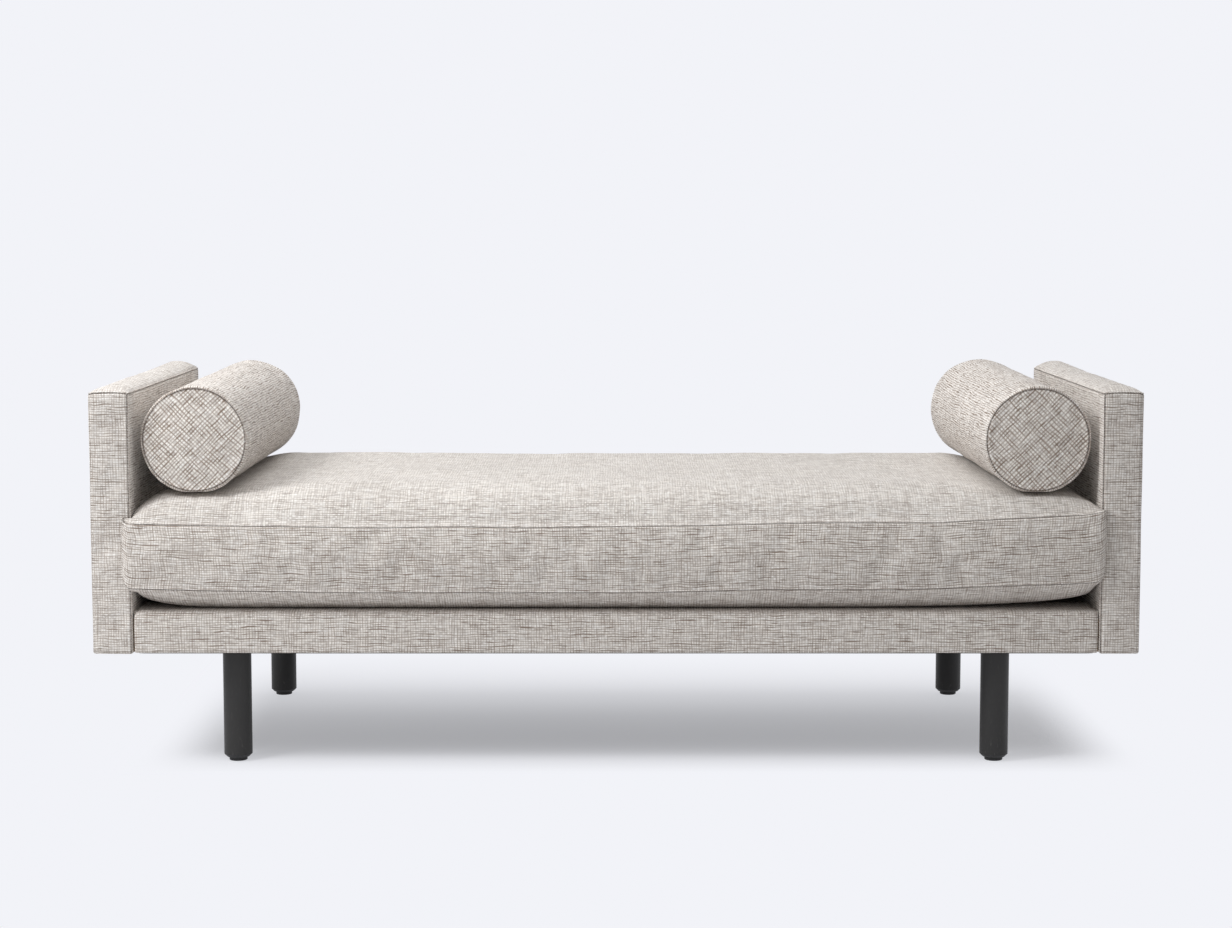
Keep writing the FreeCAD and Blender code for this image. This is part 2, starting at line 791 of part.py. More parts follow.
def make_seat_cushion():
    rear_relief = slider_stand - zip_tape_clearance - seat_wall
    skin = seat_body(0.0, seat_side_clearance, rear_relief)
    lining = seat_body(seat_wall, seat_side_clearance + seat_wall, rear_relief)
    core_inset = seat_wall + seat_core_clearance
    core = seat_body(core_inset, seat_side_clearance + core_inset, rear_relief)
    low_seam, top_seam = seat_stations[0][3], seat_stations[0][2]
    zip_z = deck_top + (low_seam + top_seam) / 2
    zip_y = seat_half_depth - rear_relief - seat_wall - zip_tape_clearance
    origin = vector(0.0, zip_y, zip_z)
    along, outward = vector(1, 0, 0), vector(0, 1, 0)
    slot = placed_on(zip_slot(seat_zip_length, 2 * seat_wall), origin, along, outward)
    pocket = placed_on(zip_pocket(seat_zip_length, seat_wall), origin, along, outward)
    save("seat_cushion_cover", [skin.cut(lining).cut(slot)])
    save("seat_cushion_core", [core.cut(pocket)])
    save("seat_zip_chain", [placed_on(zip_chain(seat_zip_length), origin, along, outward)])
    slider = zip_slider(-(seat_zip_length - slider_length) / 2)
    save("seat_zip_slider", [placed_on(slider, origin, along, outward)])


# Bolsters

def ring(y, radius, centre_z):
    """A circle about a bolster's axis, in three arcs."""
    points = []
    for step in range(6):
        angle = math.radians(60 * step)
        x = bolster_centre_x + radius * math.cos(angle)
        points.append(vector(x, y, centre_z + radius * math.sin(angle)))
    points.append(points[0])
    return Part.Wire([arc(points[i], points[i + 1], points[i + 2]) for i in (0, 2, 4)])


def bolster_body(centre_z, inset):
    """A round bolster: straight in the middle, drawn in to each end's seam, ends crowned."""
    seam_y = bolster_seam_length / 2
    straight_y = seam_y - bolster_draw_in
    drawn = bolster_radius - bolster_seam_radius
    tube_rings = []
    for step in range(bolster_ring_steps + 1):
        share = step / bolster_ring_steps
        radius = bolster_radius - drawn * share ** 2 - inset
        tube_rings.append(ring(straight_y + (bolster_draw_in - inset) * share, radius, centre_z))
    seam_radius = bolster_seam_radius - inset
    cap_rings = []
    for step in range(bolster_ring_steps + 1):
        share = step / bolster_ring_steps
        radius = seam_radius + (bolster_end_flat_radius - seam_radius) * share
        rise = bolster_end_crown * math.sqrt(1 - (1 - share) ** 2)
        cap_rings.append(ring(seam_y - inset + rise, radius, centre_z))
    middle = Part.Face(ring(-straight_y, bolster_radius - inset, centre_z))
    middle = middle.extrude(vector(0, 2 * straight_y, 0))
    tube_end = Part.makeLoft(tube_rings, True, False)
    cap = Part.makeLoft(cap_rings, True, False)
    return middle.fuse(front_and_back([tube_end, cap]))


def seat_crown_at(place):
    """The seat cushion's crown above the deck, between the two stations that place lies between."""
    for low, high in zip(seat_stations, seat_stations[1:]):
        if low[0] <= place <= high[0]:
            share = (place - low[0]) / (high[0] - low[0])
            return low[1] + (high[1] - low[1]) * share
    return seat_stations[0][1]


def make_bolsters():
    centre_z = deck_top + seat_crown_at(-bolster_from_arm) + bolster_rest_gap + bolster_radius
    skin = bolster_body(centre_z, 0.0)
    lining = bolster_body(centre_z, bolster_wall)
    core = bolster_body(centre_z, bolster_wall + bolster_core_clearance)
    angle = math.radians(-bolster_zip_angle)
    outward = vector(math.cos(angle), 0, math.sin(angle))
    half_tape = zip_tape_width / 2
    lining_radius = bolster_radius - bolster_wall
    tape_radius = math.sqrt((lining_radius - zip_tape_clearance) ** 2 - half_tape ** 2)
    origin = vector(bolster_centre_x, 0, centre_z) + outward * tape_radius
    along = vector(0, 1, 0)
    depth = lining_radius + 2 * bolster_wall - tape_radius
    slot = placed_on(zip_slot(bolster_zip_length, depth), origin, along, outward)
    pocket = placed_on(zip_pocket(bolster_zip_length, depth), origin, along, outward)
    slider = zip_slider(-(bolster_zip_length - slider_length) / 2)
    pieces = {
        "bolster_cover": skin.cut(lining).cut(slot),
        "bolster_core": core.cut(pocket),
        "bolster_zip_chain": placed_on(zip_chain(bolster_zip_length), origin, along, outward),
        "bolster_zip_slider": placed_on(slider, origin, along, outward),
    }
    for name, solid in pieces.items():
        save("right_" + name, [solid])
        save("left_" + name, [across(solid)])


os.makedirs("parts", exist_ok=True)
make_base_frame()
make_deck()
make_base_upholstery()
make_arms()
make_legs()
make_seat_cushion()
make_bolsters()
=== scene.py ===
"""Backless divan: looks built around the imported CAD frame. Lengths in the shape code are millimetres."""

import json
import math

import bpy
import numpy as np
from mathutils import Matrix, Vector


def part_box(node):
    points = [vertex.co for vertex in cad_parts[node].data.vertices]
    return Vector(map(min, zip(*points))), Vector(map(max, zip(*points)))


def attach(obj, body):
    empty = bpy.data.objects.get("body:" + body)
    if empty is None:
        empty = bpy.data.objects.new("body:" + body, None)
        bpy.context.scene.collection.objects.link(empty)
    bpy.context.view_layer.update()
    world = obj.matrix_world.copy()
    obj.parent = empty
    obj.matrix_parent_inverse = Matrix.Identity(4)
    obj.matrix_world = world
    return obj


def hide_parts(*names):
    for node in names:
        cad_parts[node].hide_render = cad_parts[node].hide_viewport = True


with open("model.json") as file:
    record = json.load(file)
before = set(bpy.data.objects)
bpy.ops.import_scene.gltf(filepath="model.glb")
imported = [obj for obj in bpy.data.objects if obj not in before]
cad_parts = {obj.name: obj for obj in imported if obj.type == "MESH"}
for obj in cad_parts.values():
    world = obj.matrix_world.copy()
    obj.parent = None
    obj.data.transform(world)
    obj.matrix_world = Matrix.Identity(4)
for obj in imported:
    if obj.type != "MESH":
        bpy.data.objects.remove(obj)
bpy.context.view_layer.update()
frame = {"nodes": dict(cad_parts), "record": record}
nodes = frame["nodes"]
scene = bpy.context.scene
MM = 0.001

# How it is laid out: left is -X, the front is -Y, the floor is Z 0.
ARM_MIDDLE = 880.0
ARM_HALF = 35.0
ARM_DEPTH = 370.0
ARM_LOW, ARM_HIGH = 200.0, 658.0
SEAT_END = 843.5
SEAT_FRONT = 384.5
DECK = 275.0

SIDES = (("left", -1), ("right", 1))
FAR = 1e3
CUT_SHIFT = np.array([1371.0, 877.0])
SWELL_FRAMES = 20


def curve(stations, at):
    """Smooth curve through (place, value) stations that never swings past a station."""
    x, y = np.array(stations, float).T
    gap = np.diff(x)
    slope = np.diff(y) / gap
    before, after = slope[:-1], slope[1:]
    w_before, w_after = 2 * gap[1:] + gap[:-1], gap[1:] + 2 * gap[:-1]
    same = before * after > 0
    safe_before = np.where(same, before, 1.0)
    safe_after = np.where(same, after, 1.0)
    bend = (w_before + w_after) / (w_before / safe_before + w_after / safe_after)
    tangent = np.concatenate([slope[:1], np.where(same, bend, 0.0), slope[-1:]])
    at = np.clip(at, x[0], x[-1])
    i = np.clip(np.searchsorted(x, at) - 1, 0, len(gap) - 1)
    t = (at - x[i]) / gap[i]
    rise = gap[i] * (t * (1 - t) ** 2 * tangent[i] - t * t * (1 - t) * tangent[i + 1])
    return y[i] + (y[i + 1] - y[i]) * t * t * (3 - 2 * t) + rise


def ease(low, high, at):
    t = np.clip((at - low) / (high - low), 0, 1)
    return t * t * (3 - 2 * t)


def ripple(p, length, seed):
    """Gentle unevenness from -1 to 1 over points p, about one swell in each length."""
    draws = np.random.default_rng(seed)
    total = np.zeros(len(p))
    for _ in range(7):
        way = draws.normal(size=3)
        way *= 2 * math.pi / (length * draws.uniform(0.7, 1.6)) / np.linalg.norm(way)
        total += np.sin(p @ way + draws.uniform(0, 2 * math.pi))
    return total / 4


def spaced(low, high, ends, step):
    """Places from low to high, with the given distances at both ends and steps between."""
    ends = np.array(ends, float)
    middle = np.linspace(low + ends[-1], high - ends[-1], int((high - low - 2 * ends[-1]) / step) + 2)
    return np.concatenate([low + ends[:-1], middle, high - ends[-2::-1]])


def merged(places, extra):
    """Places with extra ones put in, and their near neighbours left out."""
    kept = [x for x in places if min(abs(x - e) for e in extra) > 0.7]
    return np.array(sorted(kept + list(extra)))


def regrid(values, old_a, old_b, new_a, new_b):
    """Vectors at the places of one grid, carried over to the places of another."""
    rows = np.stack([[np.interp(new_b, old_b, row[:, k]) for row in values] for k in range(3)], 2)
    columns = rows.transpose(1, 0, 2)
    full = np.stack([[np.interp(new_a, old_a, column[:, k]) for column in columns] for k in range(3)], 2)
    return full.transpose(1, 0, 2)


class Block:
    """A closed grid with six sides that share their edge points."""

    def __init__(self, us, vs, ws):
        self.stations = [np.asarray(s, float) for s in (us, vs, ws)]
        shape = [len(s) for s in self.stations]
        skin = np.ones(shape, bool)
        skin[1:-1, 1:-1, 1:-1] = False
        n = self.numbers = np.full(shape, -1)
        n[skin] = np.arange(skin.sum())
        self.index = np.argwhere(skin)
        self.params = np.stack([s[self.index[:, k]] for k, s in enumerate(self.stations)], 1)
        self.sides = {
            "low_x": (n[0], True, (1, 2)), "high_x": (n[-1], False, (1, 2)),
            "front": (n[:, 0], False, (0, 2)), "rear": (n[:, -1], True, (0, 2)),
            "under": (n[:, :, 0], True, (0, 1)), "top": (n[:, :, -1], False, (0, 1)),
        }

    def corners(self, side, values):
        """Values at a side's grid points, given to each corner of its faces in order."""
        turned = self.sides[side][1]
        picks = [values[:-1, :-1], values[1:, :-1], values[1:, 1:], values[:-1, 1:]]
        if turned:
            picks = [picks[0], picks[3], picks[2], picks[1]]
        return np.stack([p.reshape((-1,) + values.shape[2:]) for p in picks], 1)

    def quads(self):
        return np.concatenate([self.corners(side, grid) for side, (grid, _, _) in self.sides.items()])

    def spread(self, coarse, moves):
        """A coarser block's moves, carried over to this block's points."""
        out = np.zeros((len(self.index), 3))
        for side, (grid, _, (a, b)) in self.sides.items():
            old, new = coarse.stations, self.stations
            out[grid] = regrid(moves[coarse.sides[side][0]], old[a], old[b], new[a], new[b])
        return out


def lengths_of(vectors):
    return np.maximum(np.linalg.norm(vectors, axis=1, keepdims=True), 1e-9)


def normals(points, quads):
    a, b, c, d = (points[quads[:, k]] for k in range(4))
    face = np.cross(c - a, d - b)
    out = np.zeros_like(points)
    for k in range(4):
        np.add.at(out, quads[:, k], face)
    return out / lengths_of(out)


def arcs(p):
    """Lengths along both directions of a grid of points, from its first row and column."""
    along, across = np.zeros(p.shape[:2]), np.zeros(p.shape[:2])
    along[1:] = np.cumsum(np.linalg.norm(np.diff(p, axis=0), axis=2), axis=0)
    across[:, 1:] = np.cumsum(np.linalg.norm(np.diff(p, axis=1), axis=2), axis=1)
    return along, across


def from_edge(p, edge):
    """Distances over a grid of points from one of its edges: i0, i1, j0 or j1."""
    along, across = arcs(p)
    lengths = {"i0": along, "i1": along[-1:] - along, "j0": across, "j1": across[:, -1:] - across}
    return lengths[edge]


def relief(t, marks):
    """Height of a seam's groove and ridges at distance t from it: (place, height, width) marks."""
    return sum(h * np.exp(-(((t - c) / w) ** 2)) for c, h, w in marks)


def seam_distance(block, points, seam):
    """Signed distance of each point from a seam, which is named side by side."""
    out = np.full(len(points), FAR)
    for side, edges in seam["sides"].items():
        grid = block.sides[side][0]
        for edge, sign in edges:
            t = sign * from_edge(points[grid], edge) - seam["place"]
            out[grid] = np.where(np.abs(t) < np.abs(out[grid]), t, out[grid])
    return out


def stitch_layer(block, points, seams):
    """For each face corner, how far along and across the nearest seam it is, in metres."""
    rows = []
    for side, (grid, _, _) in block.sides.items():
        p = points[grid]
        along, across = arcs(p)
        count = (grid.shape[0] - 1) * (grid.shape[1] - 1)
        best = np.full((count, 4, 2), FAR)
        for seam in seams:
            for edge, sign in seam["sides"].get(side, ()):
                t = block.corners(side, sign * from_edge(p, edge) - seam["place"])
                way = block.corners(side, across if edge[0] == "i" else along)
                nearer = np.abs(t).mean(1) < np.abs(best[:, :, 1]).mean(1)
                best[nearer] = np.stack([way, t], 2)[nearer]
        rows.append(best)
    return np.concatenate(rows) * MM


def cloth_layers(block, points, seams=()):
    """For each face corner, its place on the cloth as cut for that side, and on the nearest seam."""
    rows = []
    for number, (side, (grid, _, _)) in enumerate(block.sides.items()):
        along, across = arcs(points[grid])
        mid_i, mid_j = grid.shape[0] // 2, grid.shape[1] // 2
        place = np.stack([along - along[mid_i:mid_i + 1], across - across[:, mid_j:mid_j + 1]], 2)
        rows.append(block.corners(side, place + CUT_SHIFT * (number + 1)))
    return {"weave": np.concatenate(rows) * MM, "seam": stitch_layer(block, points, seams)}


def show(name, data):
    """A new object in the scene."""
    thing = bpy.data.objects.new(name, data)
    scene.collection.objects.link(thing)
    return thing


def show_mesh(name, points, faces):
    """A new mesh object, from points in metres."""
    mesh = bpy.data.meshes.new(name)
    mesh.from_pydata(points.tolist(), [], [list(map(int, f)) for f in faces])
    return show(name, mesh)


def make(name, points, faces, layers, body, material):
    """A mesh piece from points in millimetres, riding on its body."""
    piece = show_mesh(name, points * MM, faces)
    mesh = piece.data
    for label, values in layers.items():
        layer = mesh.uv_layers.new(name=label)
        layer.data.foreach_set("uv", np.ascontiguousarray(values, dtype=np.float32).ravel())
    mesh.polygons.foreach_set("use_smooth", [True] * len(mesh.polygons))
    mesh.update()
    mesh.materials.append(material)
    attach(piece, body)
    return piece


def face_top(piece, block, material):
    """Gives the faces of a block's top their own material, a darker copy of the fabric: painted shade."""
    on_top = [np.full((grid.shape[0] - 1) * (grid.shape[1] - 1), side == "top")
              for side, (grid, _, _) in block.sides.items()]
    piece.data.materials.append(material)
    piece.data.polygons.foreach_set("material_index", np.concatenate(on_top).astype(np.int32))


def refine(piece):
    modifier = piece.modifiers.new("smooth", "SUBSURF")
    modifier.levels = modifier.render_levels = 1


def swell(points, quads, held, pressure, cap):
    """How far cloth over these points moves under pressure from inside, each point at most cap."""
    cloth_piece = show_mesh("swelling", points * MM, quads)
    mesh = cloth_piece.data
    group = cloth_piece.vertex_groups.new(name="held")
    for i in np.nonzero(held > 0)[0]:
        group.add([int(i)], float(held[i]), "REPLACE")
    modifier = cloth_piece.modifiers.new("cloth", "CLOTH")
    cloth = modifier.settings
    cloth.vertex_group_mass = "held"
    cloth.use_pressure = True
    cloth.uniform_pressure_force = pressure
    cloth.shrink_min = -0.01
    cloth.bending_stiffness = 2.0
    cloth.air_damping = 4.0
    cloth.effector_weights.gravity = 0.0
    modifier.collision_settings.use_collision = False
    modifier.point_cache.frame_start = 1
    modifier.point_cache.frame_end = SWELL_FRAMES
    for number in range(1, SWELL_FRAMES + 1):
        scene.frame_set(number)
    done = cloth_piece.evaluated_get(bpy.context.evaluated_depsgraph_get()).to_mesh()
    moved = np.zeros(len(points) * 3, np.float32)
    done.vertices.foreach_get("co", moved)
    moves = moved.reshape(-1, 3) / MM - points
    scene.frame_set(1)
    bpy.data.objects.remove(cloth_piece)
    bpy.data.meshes.remove(mesh)
    size = lengths_of(moves)
    print("swell", len(points), "points, largest move", round(float(size.max()), 1), "mm")
    return moves * np.tanh(size / cap) * cap / size


# Materials

def feed(tree, socket, value):
    """Sets a socket to a value or a colour without alpha, or links it from a term, a socket or a node."""
    if isinstance(value, Term):
        value = value.socket
    if isinstance(value, bpy.types.Node):
        value = value.outputs[0]
    if isinstance(value, bpy.types.NodeSocket):
        tree.links.new(value, socket)
    elif value is not None:
        socket.default_value = (*value, 1.0) if socket.type == "RGBA" else value


def add_node(tree, kind, inputs=(), **settings):
    node = tree.nodes.new(kind)
    for key, value in settings.items():
        setattr(node, key, value)
    for socket, value in zip(node.inputs, inputs):
        feed(tree, socket, value)
    return node


def emptied(user):
    """The node tree of a material or world, with nothing in it."""
    user.use_nodes = True
    user.node_tree.nodes.clear()
    return user.node_tree


def formula(operation, turned=False):
    def apply(self, other):
        pair = (other, self) if turned else (self, other)
        return self.graph.math(operation, *pair)
    return apply


class Term:
    """A node's output that can stand in a formula."""
    __add__ = __radd__ = formula("ADD")
    __mul__ = __rmul__ = formula("MULTIPLY")
    __sub__, __rsub__ = formula("SUBTRACT"), formula("SUBTRACT", turned=True)
    __truediv__ = formula("DIVIDE")

    def __init__(self, graph, socket):
        self.graph, self.socket = graph, socket


class Graph:
    """A Principled material whose nodes are written as formulas."""

    def __init__(self, name, **fixed):
        self.material = bpy.data.materials.new(name)
        self.tree = emptied(self.material)
        self.shader = add_node(self.tree, "ShaderNodeBsdfPrincipled")
        add_node(self.tree, "ShaderNodeOutputMaterial", [self.shader])
        for label, value in fixed.items():
            self.shader.inputs[label.replace("_", " ")].default_value = value

    def term(self, kind, *inputs, output=0, **settings):
        return Term(self, add_node(self.tree, kind, inputs, **settings).outputs[output])

    def math(self, operation, *values):
        return self.term("ShaderNodeMath", *values, operation=operation)

    def floor(self, x):
        return self.math("FLOOR", x)

    def fract(self, x):
        return x - self.floor(x)

    def bump_of(self, t, place, width):
        """1 at t = place, falling to 0 about width away."""
        gap = t - place
        return self.math("EXPONENT", gap * gap * (-1.0 / width ** 2))

    def ease(self, low, high, x):
        return self.term("ShaderNodeMapRange", x, low, high, 0.0, 1.0, interpolation_type="SMOOTHSTEP")

    def vector(self, x, y, z):
        return self.term("ShaderNodeCombineXYZ", x, y, z)

    def parts(self, vector):
        return [Term(self, s) for s in add_node(self.tree, "ShaderNodeSeparateXYZ", [vector]).outputs]

    def layer(self, label):
        return self.parts(self.term("ShaderNodeUVMap", uv_map=label))[:2]

    def place(self):
        return self.parts(self.term("ShaderNodeTexCoord", output="Object"))

    def noise(self, x, y, z, scale=1.0, detail=1.0, roughness=0.5):
        return self.term("ShaderNodeTexNoise", self.vector(x, y, z), None, scale, detail, roughness)

    def mix(self, share, a, b):
        return self.term("ShaderNodeMix", share, *[None] * 5, a, b, output=2, data_type="RGBA")

    def shade(self, colour, factor):
        """A colour made lighter or darker by a varying factor."""
        grey = self.vector(factor, factor, factor)
        return self.term("ShaderNodeVectorMath", colour, grey, operation="MULTIPLY")

    def done(self, colour, roughness, height, relief_size):
        bump = add_node(self.tree, "ShaderNodeBump", [1.0, relief_size, None, height])
        for label, value in (("Base Color", colour), ("Roughness", roughness), ("Normal", bump)):
            feed(self.tree, self.shader.inputs[label], value)
        return self.material


WARP_PITCH, WEFT_PITCH = 0.0046, 0.0042
YARN_DRIFT, YARN_SPREAD = 0.004, 0.005
STITCH_PITCH, STITCH_WIDTH = 0.0052, 0.0013
PAINTED_HIGHLIGHT_FROM_SEAM, PAINTED_HIGHLIGHT_WIDTH = 0.0036, 0.0015
WHITE, CREAM, STONE = (0.96, 0.945, 0.92), (0.90, 0.868, 0.825), (0.66, 0.627, 0.597)
BROWN, UMBER, THREAD = (0.215, 0.145, 0.10), (0.16, 0.105, 0.07), (0.085, 0.060, 0.045)


def tweed(name, stitch, dash_share, contrast=0.86, cross=1.0, painted_light_level=0.965, streak=1.5, mottle=0.3):
    """Coarse plain-woven tweed: pale yarns over brown gaps, with dark slubs and pale streaks.

    The weave layer gives u along the weft and v along the warp, in metres. How round a yarn is goes
    from 0 at its edges to 1 at its middle. Stitch is how dark a sewn seam is and dash_share how much of it
    comes and goes, cross how deep the gaps across the weft are, and streak how long its marks run.
    The last brightness factor scales the whole colour. It makes lighter and darker copies of the one fabric
    for surfaces that the light falls on differently, which is painted light and shade. A paler band beside
    each seam is a painted highlight on its rolled edge.
    """
    g = Graph(name, Sheen_Weight=0.1, Sheen_Roughness=0.6, Specular_IOR_Level=0.2)
    u, v = g.layer("weave")
    along, across = g.layer("seam")
    drift = g.noise(u, v, 0.3, 34.0, 1.5)
    slant = g.noise(u, v, 7.7, 29.0, 1.5)
    warp_spread = g.noise(u / 0.010, v / 0.06, 12.5)
    weft_spread = g.noise(u / 0.06, v / 0.010, 25.9)
    a = (u + (drift - 0.5) * YARN_DRIFT + (warp_spread - 0.5) * YARN_SPREAD) / WARP_PITCH
    b = (v + (slant - 0.5) * YARN_DRIFT + (weft_spread - 0.5) * YARN_SPREAD) / WEFT_PITCH
    i, j = g.floor(a), g.floor(b)
    off_warp, off_weft = (a - i) * 2.0 - 1.0, (b - j) * 2.0 - 1.0
    warp_round, weft_round = 1.0 - off_warp * off_warp, 1.0 - off_weft * off_weft
    weft_wave = g.math("COSINE", (a - 0.5 + j) * math.pi)
    warp_wave = g.math("COSINE", (b - 0.5 + i) * math.pi)
    weft_thick = g.noise(u / 0.03, j * 7.31, 5.2)
    warp_thick = g.noise(i * 5.17, v / 0.03, 8.8)
    weft = weft_round + weft_wave * 0.4 + (weft_thick - 0.5) * 1.2
    warp = warp_round - warp_wave * 0.4 + (warp_thick - 0.5) * 1.2 - 0.3
    weft_shows = g.ease(-0.55, 0.55, weft - warp)
    row, column = g.math("ROUND", b), g.math("ROUND", a)
    row_depth = g.ease(0.34, 0.68, g.noise(u / (0.024 * streak), row * 3.91, 14.2))
    column_depth = g.ease(0.36, 0.70, g.noise(column * 4.37, v / 0.022, 17.6))
    slub = g.ease(0.53, 0.64, g.noise(u / (0.020 * streak), row * 7.13, 21.7))
    row_gap = (1.0 - g.ease(0.15, 1.0, weft_round)) * (0.45 + 0.55 * row_depth)
    column_gap = (1.0 - g.ease(0.15, 1.0, warp_round)) * (0.35 + 0.50 * column_depth) * cross
    slub_gap = (1.0 - g.ease(0.30, 1.0, weft_round)) * slub
    gap = 1.0 - (1.0 - row_gap) * (1.0 - column_gap)

    def yarn(tone, pale, pale_share):
        colour = g.mix(g.ease(0.34, 0.62, tone), STONE, CREAM)
        return g.mix(g.ease(0.50, 0.66, pale) * pale_share, colour, WHITE)

    weft_tone, weft_pale = g.noise(u / 0.024, j * 7.31, 3.1, 1.0, 2.0), g.noise(u / 0.022, j * 3.77, 41.3)
    warp_tone, warp_pale = g.noise(i * 5.17, v / 0.045, 9.4, 1.0, 2.0), g.noise(i * 5.17, v / 0.06, 61.9)
    weft_colour, warp_colour = yarn(weft_tone, weft_pale, 0.8), yarn(warp_tone, warp_pale, 0.7)
    colour = g.mix(weft_shows, warp_colour, weft_colour)
    colour = g.mix(gap * 0.86 * contrast, colour, BROWN)
    colour = g.mix(slub_gap * 0.72 * contrast, colour, UMBER)

    fibre = g.noise(u, v, 1.1, 1500.0, 2.0, 0.7)
    cloud = g.noise(u, v, 4.4, 7.0, 2.0)
    mottled = g.noise(u / (0.009 * streak), v / 0.012, 33.1, 1.0, 3.0, 0.7)
    # The brightness factor darkens or lightens this copy of the fabric as a whole: painted light and shade.
    tint = (0.94 + 0.12 * cloud) * (0.94 + 0.28 * fibre) * (1.0 + (mottled - 0.5) * mottle) * painted_light_level
    far = g.math("ABSOLUTE", across)
    line = g.bump_of(far, 0.0, STITCH_WIDTH)
    dash = g.ease(0.16, 0.30, g.math("ABSOLUTE", g.fract(along / STITCH_PITCH) - 0.5))
    # A paler band a few millimetres from each seam: a painted highlight on the rolled edge.
    painted_highlight = g.bump_of(far, PAINTED_HIGHLIGHT_FROM_SEAM, PAINTED_HIGHLIGHT_WIDTH)
    tint = tint * (1.0 + painted_highlight * 0.10)
    colour = g.shade(colour, tint)
    sewn = line * (1.0 - dash_share + dash * dash_share) * stitch
    colour = g.mix(sewn, colour, THREAD)
    height = (weft_round * weft_shows + warp_round * (1.0 - weft_shows)) * 0.6 + fibre * 0.12
    height = height - line * 0.8
    return g.done(colour, 0.86 + 0.1 * fibre, height, 0.0006)


def wood(name, pale, deep, grain):
    """Sawn timber with its grain along the axis number grain."""
    g = Graph(name, Specular_IOR_Level=0.3)
    x, y, z = g.place()
    stretch = [90.0, 90.0, 90.0]
    stretch[grain] = 4.0
    rings = g.noise(x * stretch[0], y * stretch[1], z * stretch[2], 1.0, 4.0, 0.6)
    fine = g.noise(x * stretch[0] * 9, y * stretch[1] * 9, z * stretch[2] * 6, 1.0, 2.0, 0.6)
    broad = g.noise(x, y, z, 6.0, 2.0)
    colour = g.mix(g.ease(0.35, 0.68, rings), pale, deep)
    colour = g.shade(colour, (0.82 + 0.36 * broad) * (0.9 + 0.2 * fine))
    return g.done(colour, 0.6 + 0.2 * fine, rings * 0.4 + fine * 0.6, 0.0004)


def board(name):
    """Hardboard: pressed brown fibre."""
    g = Graph(name, Specular_IOR_Level=0.35)
    x, y, z = g.place()
    fibre = g.noise(x, y, z, 420.0, 4.0, 0.7)
    cloud = g.noise(x, y, z, 12.0, 3.0)
    colour = g.mix(g.ease(0.3, 0.7, fibre), (0.33, 0.20, 0.11), (0.20, 0.115, 0.06))
    colour = g.shade(colour, 0.85 + 0.3 * cloud)
    return g.done(colour, 0.55 + 0.25 * fibre, fibre, 0.0003)


def painted(name):
    """Charcoal powder coat with a fine orange-peel surface, rubbed paler low down."""
    g = Graph(name, Specular_IOR_Level=0.35)
    x, y, z = g.place()
    peel = g.noise(x, y, z, 900.0, 2.0)
    cloud = g.noise(x, y, z, 22.0, 3.0)
    scuff = g.noise(x * 260, y * 260, z * 60, 1.0, 3.0, 0.7)
    low = 1.0 - g.ease(0.012, 0.045, z)
    rub = g.ease(0.58, 0.72, scuff) * (low * 0.8 + 0.12)
    colour = g.mix(cloud, (0.026, 0.0255, 0.025), (0.036, 0.035, 0.0345))
    colour = g.mix(rub, colour, (0.13, 0.125, 0.12))
    return g.done(colour, 0.42 + 0.14 * cloud + 0.2 * rub, peel, 0.00012)


def steel(name, tone, roughness, brush):
    """Plain steel: drawn wire or zinc-plated hardware."""
    g = Graph(name, Metallic=1.0)
    x, y, z = g.place()
    cloud = g.noise(x, y, z, 60.0, 3.0)
    fine = g.noise(x * 500, y * 500, z * 500 * brush, 1.0, 2.0)
    warm = g.mix(g.ease(0.45, 0.7, cloud), tone, tuple(t * f for t, f in zip(tone, (0.92, 0.86, 0.74))))
    return g.done(g.shade(warm, 0.85 + 0.3 * fine), roughness + 0.25 * cloud, fine, 0.00008)


def plastic(name):
    """Black moulded polymer, lightly scratched underneath."""
    g = Graph(name, Specular_IOR_Level=0.4)
    x, y, z = g.place()
    grain = g.noise(x, y, z, 1400.0, 2.0)
    scratch = g.ease(0.6, 0.75, g.noise(x * 500, y * 90, z * 90, 1.0, 3.0))
    low = 1.0 - g.ease(0.001, 0.004, z)
    colour = g.mix(scratch * low * 0.6 + grain * 0.1, (0.018, 0.018, 0.019), (0.11, 0.11, 0.11))
    return g.done(colour, 0.5 + 0.2 * grain, grain + scratch * low, 0.0001)


def zip_metal(name):
    """Zip slider: die-cast body with a brown-grey painted finish rubbed through at its high spots."""
    g = Graph(name, Metallic=0.8, Specular_IOR_Level=0.5)
    x, y, z = g.place()
    wear = g.ease(0.52, 0.66, g.noise(x, y, z, 260.0, 3.0))
    fine = g.noise(x, y, z, 1800.0, 2.0)
    colour = g.mix(wear, (0.17, 0.145, 0.125), (0.44, 0.40, 0.35))
    return g.done(colour, 0.36 + 0.2 * fine, fine, 0.00006)


def cloth(name, thread, pitch, dark, light, relief_size=0.0003, wander=0.35):
    """Fine plain cloth on the weave layer: lining, dust cloth or zip tape."""
    g = Graph(name, Sheen_Weight=0.1, Specular_IOR_Level=0.2)
    u, v = g.layer("weave")
    drift = g.noise(u, v, 2.0, 60.0, 1.0)
    a = u / pitch + (drift - 0.5) * wander
    b = v / pitch + (drift - 0.5) * wander
    i, j = g.floor(a), g.floor(b)
    fa, fb = a - i - 0.5, b - j - 0.5
    check = g.fract((i + j) * 0.5) * 2.0
    weft = (1.0 - fb * fb * 4.0) * check
    warp = (1.0 - fa * fa * 4.0) * (1.0 - check)
    raised = weft + warp
    tone = g.noise(i * thread, j * thread, 3.0)
    cloud = g.noise(u, v, 9.0, 11.0, 3.0)
    colour = g.mix(raised * 0.6 + tone * 0.4, dark, light)
    colour = g.shade(colour, 0.84 + 0.32 * cloud)
    return g.done(colour, 0.8 + 0.15 * cloud, raised, relief_size)


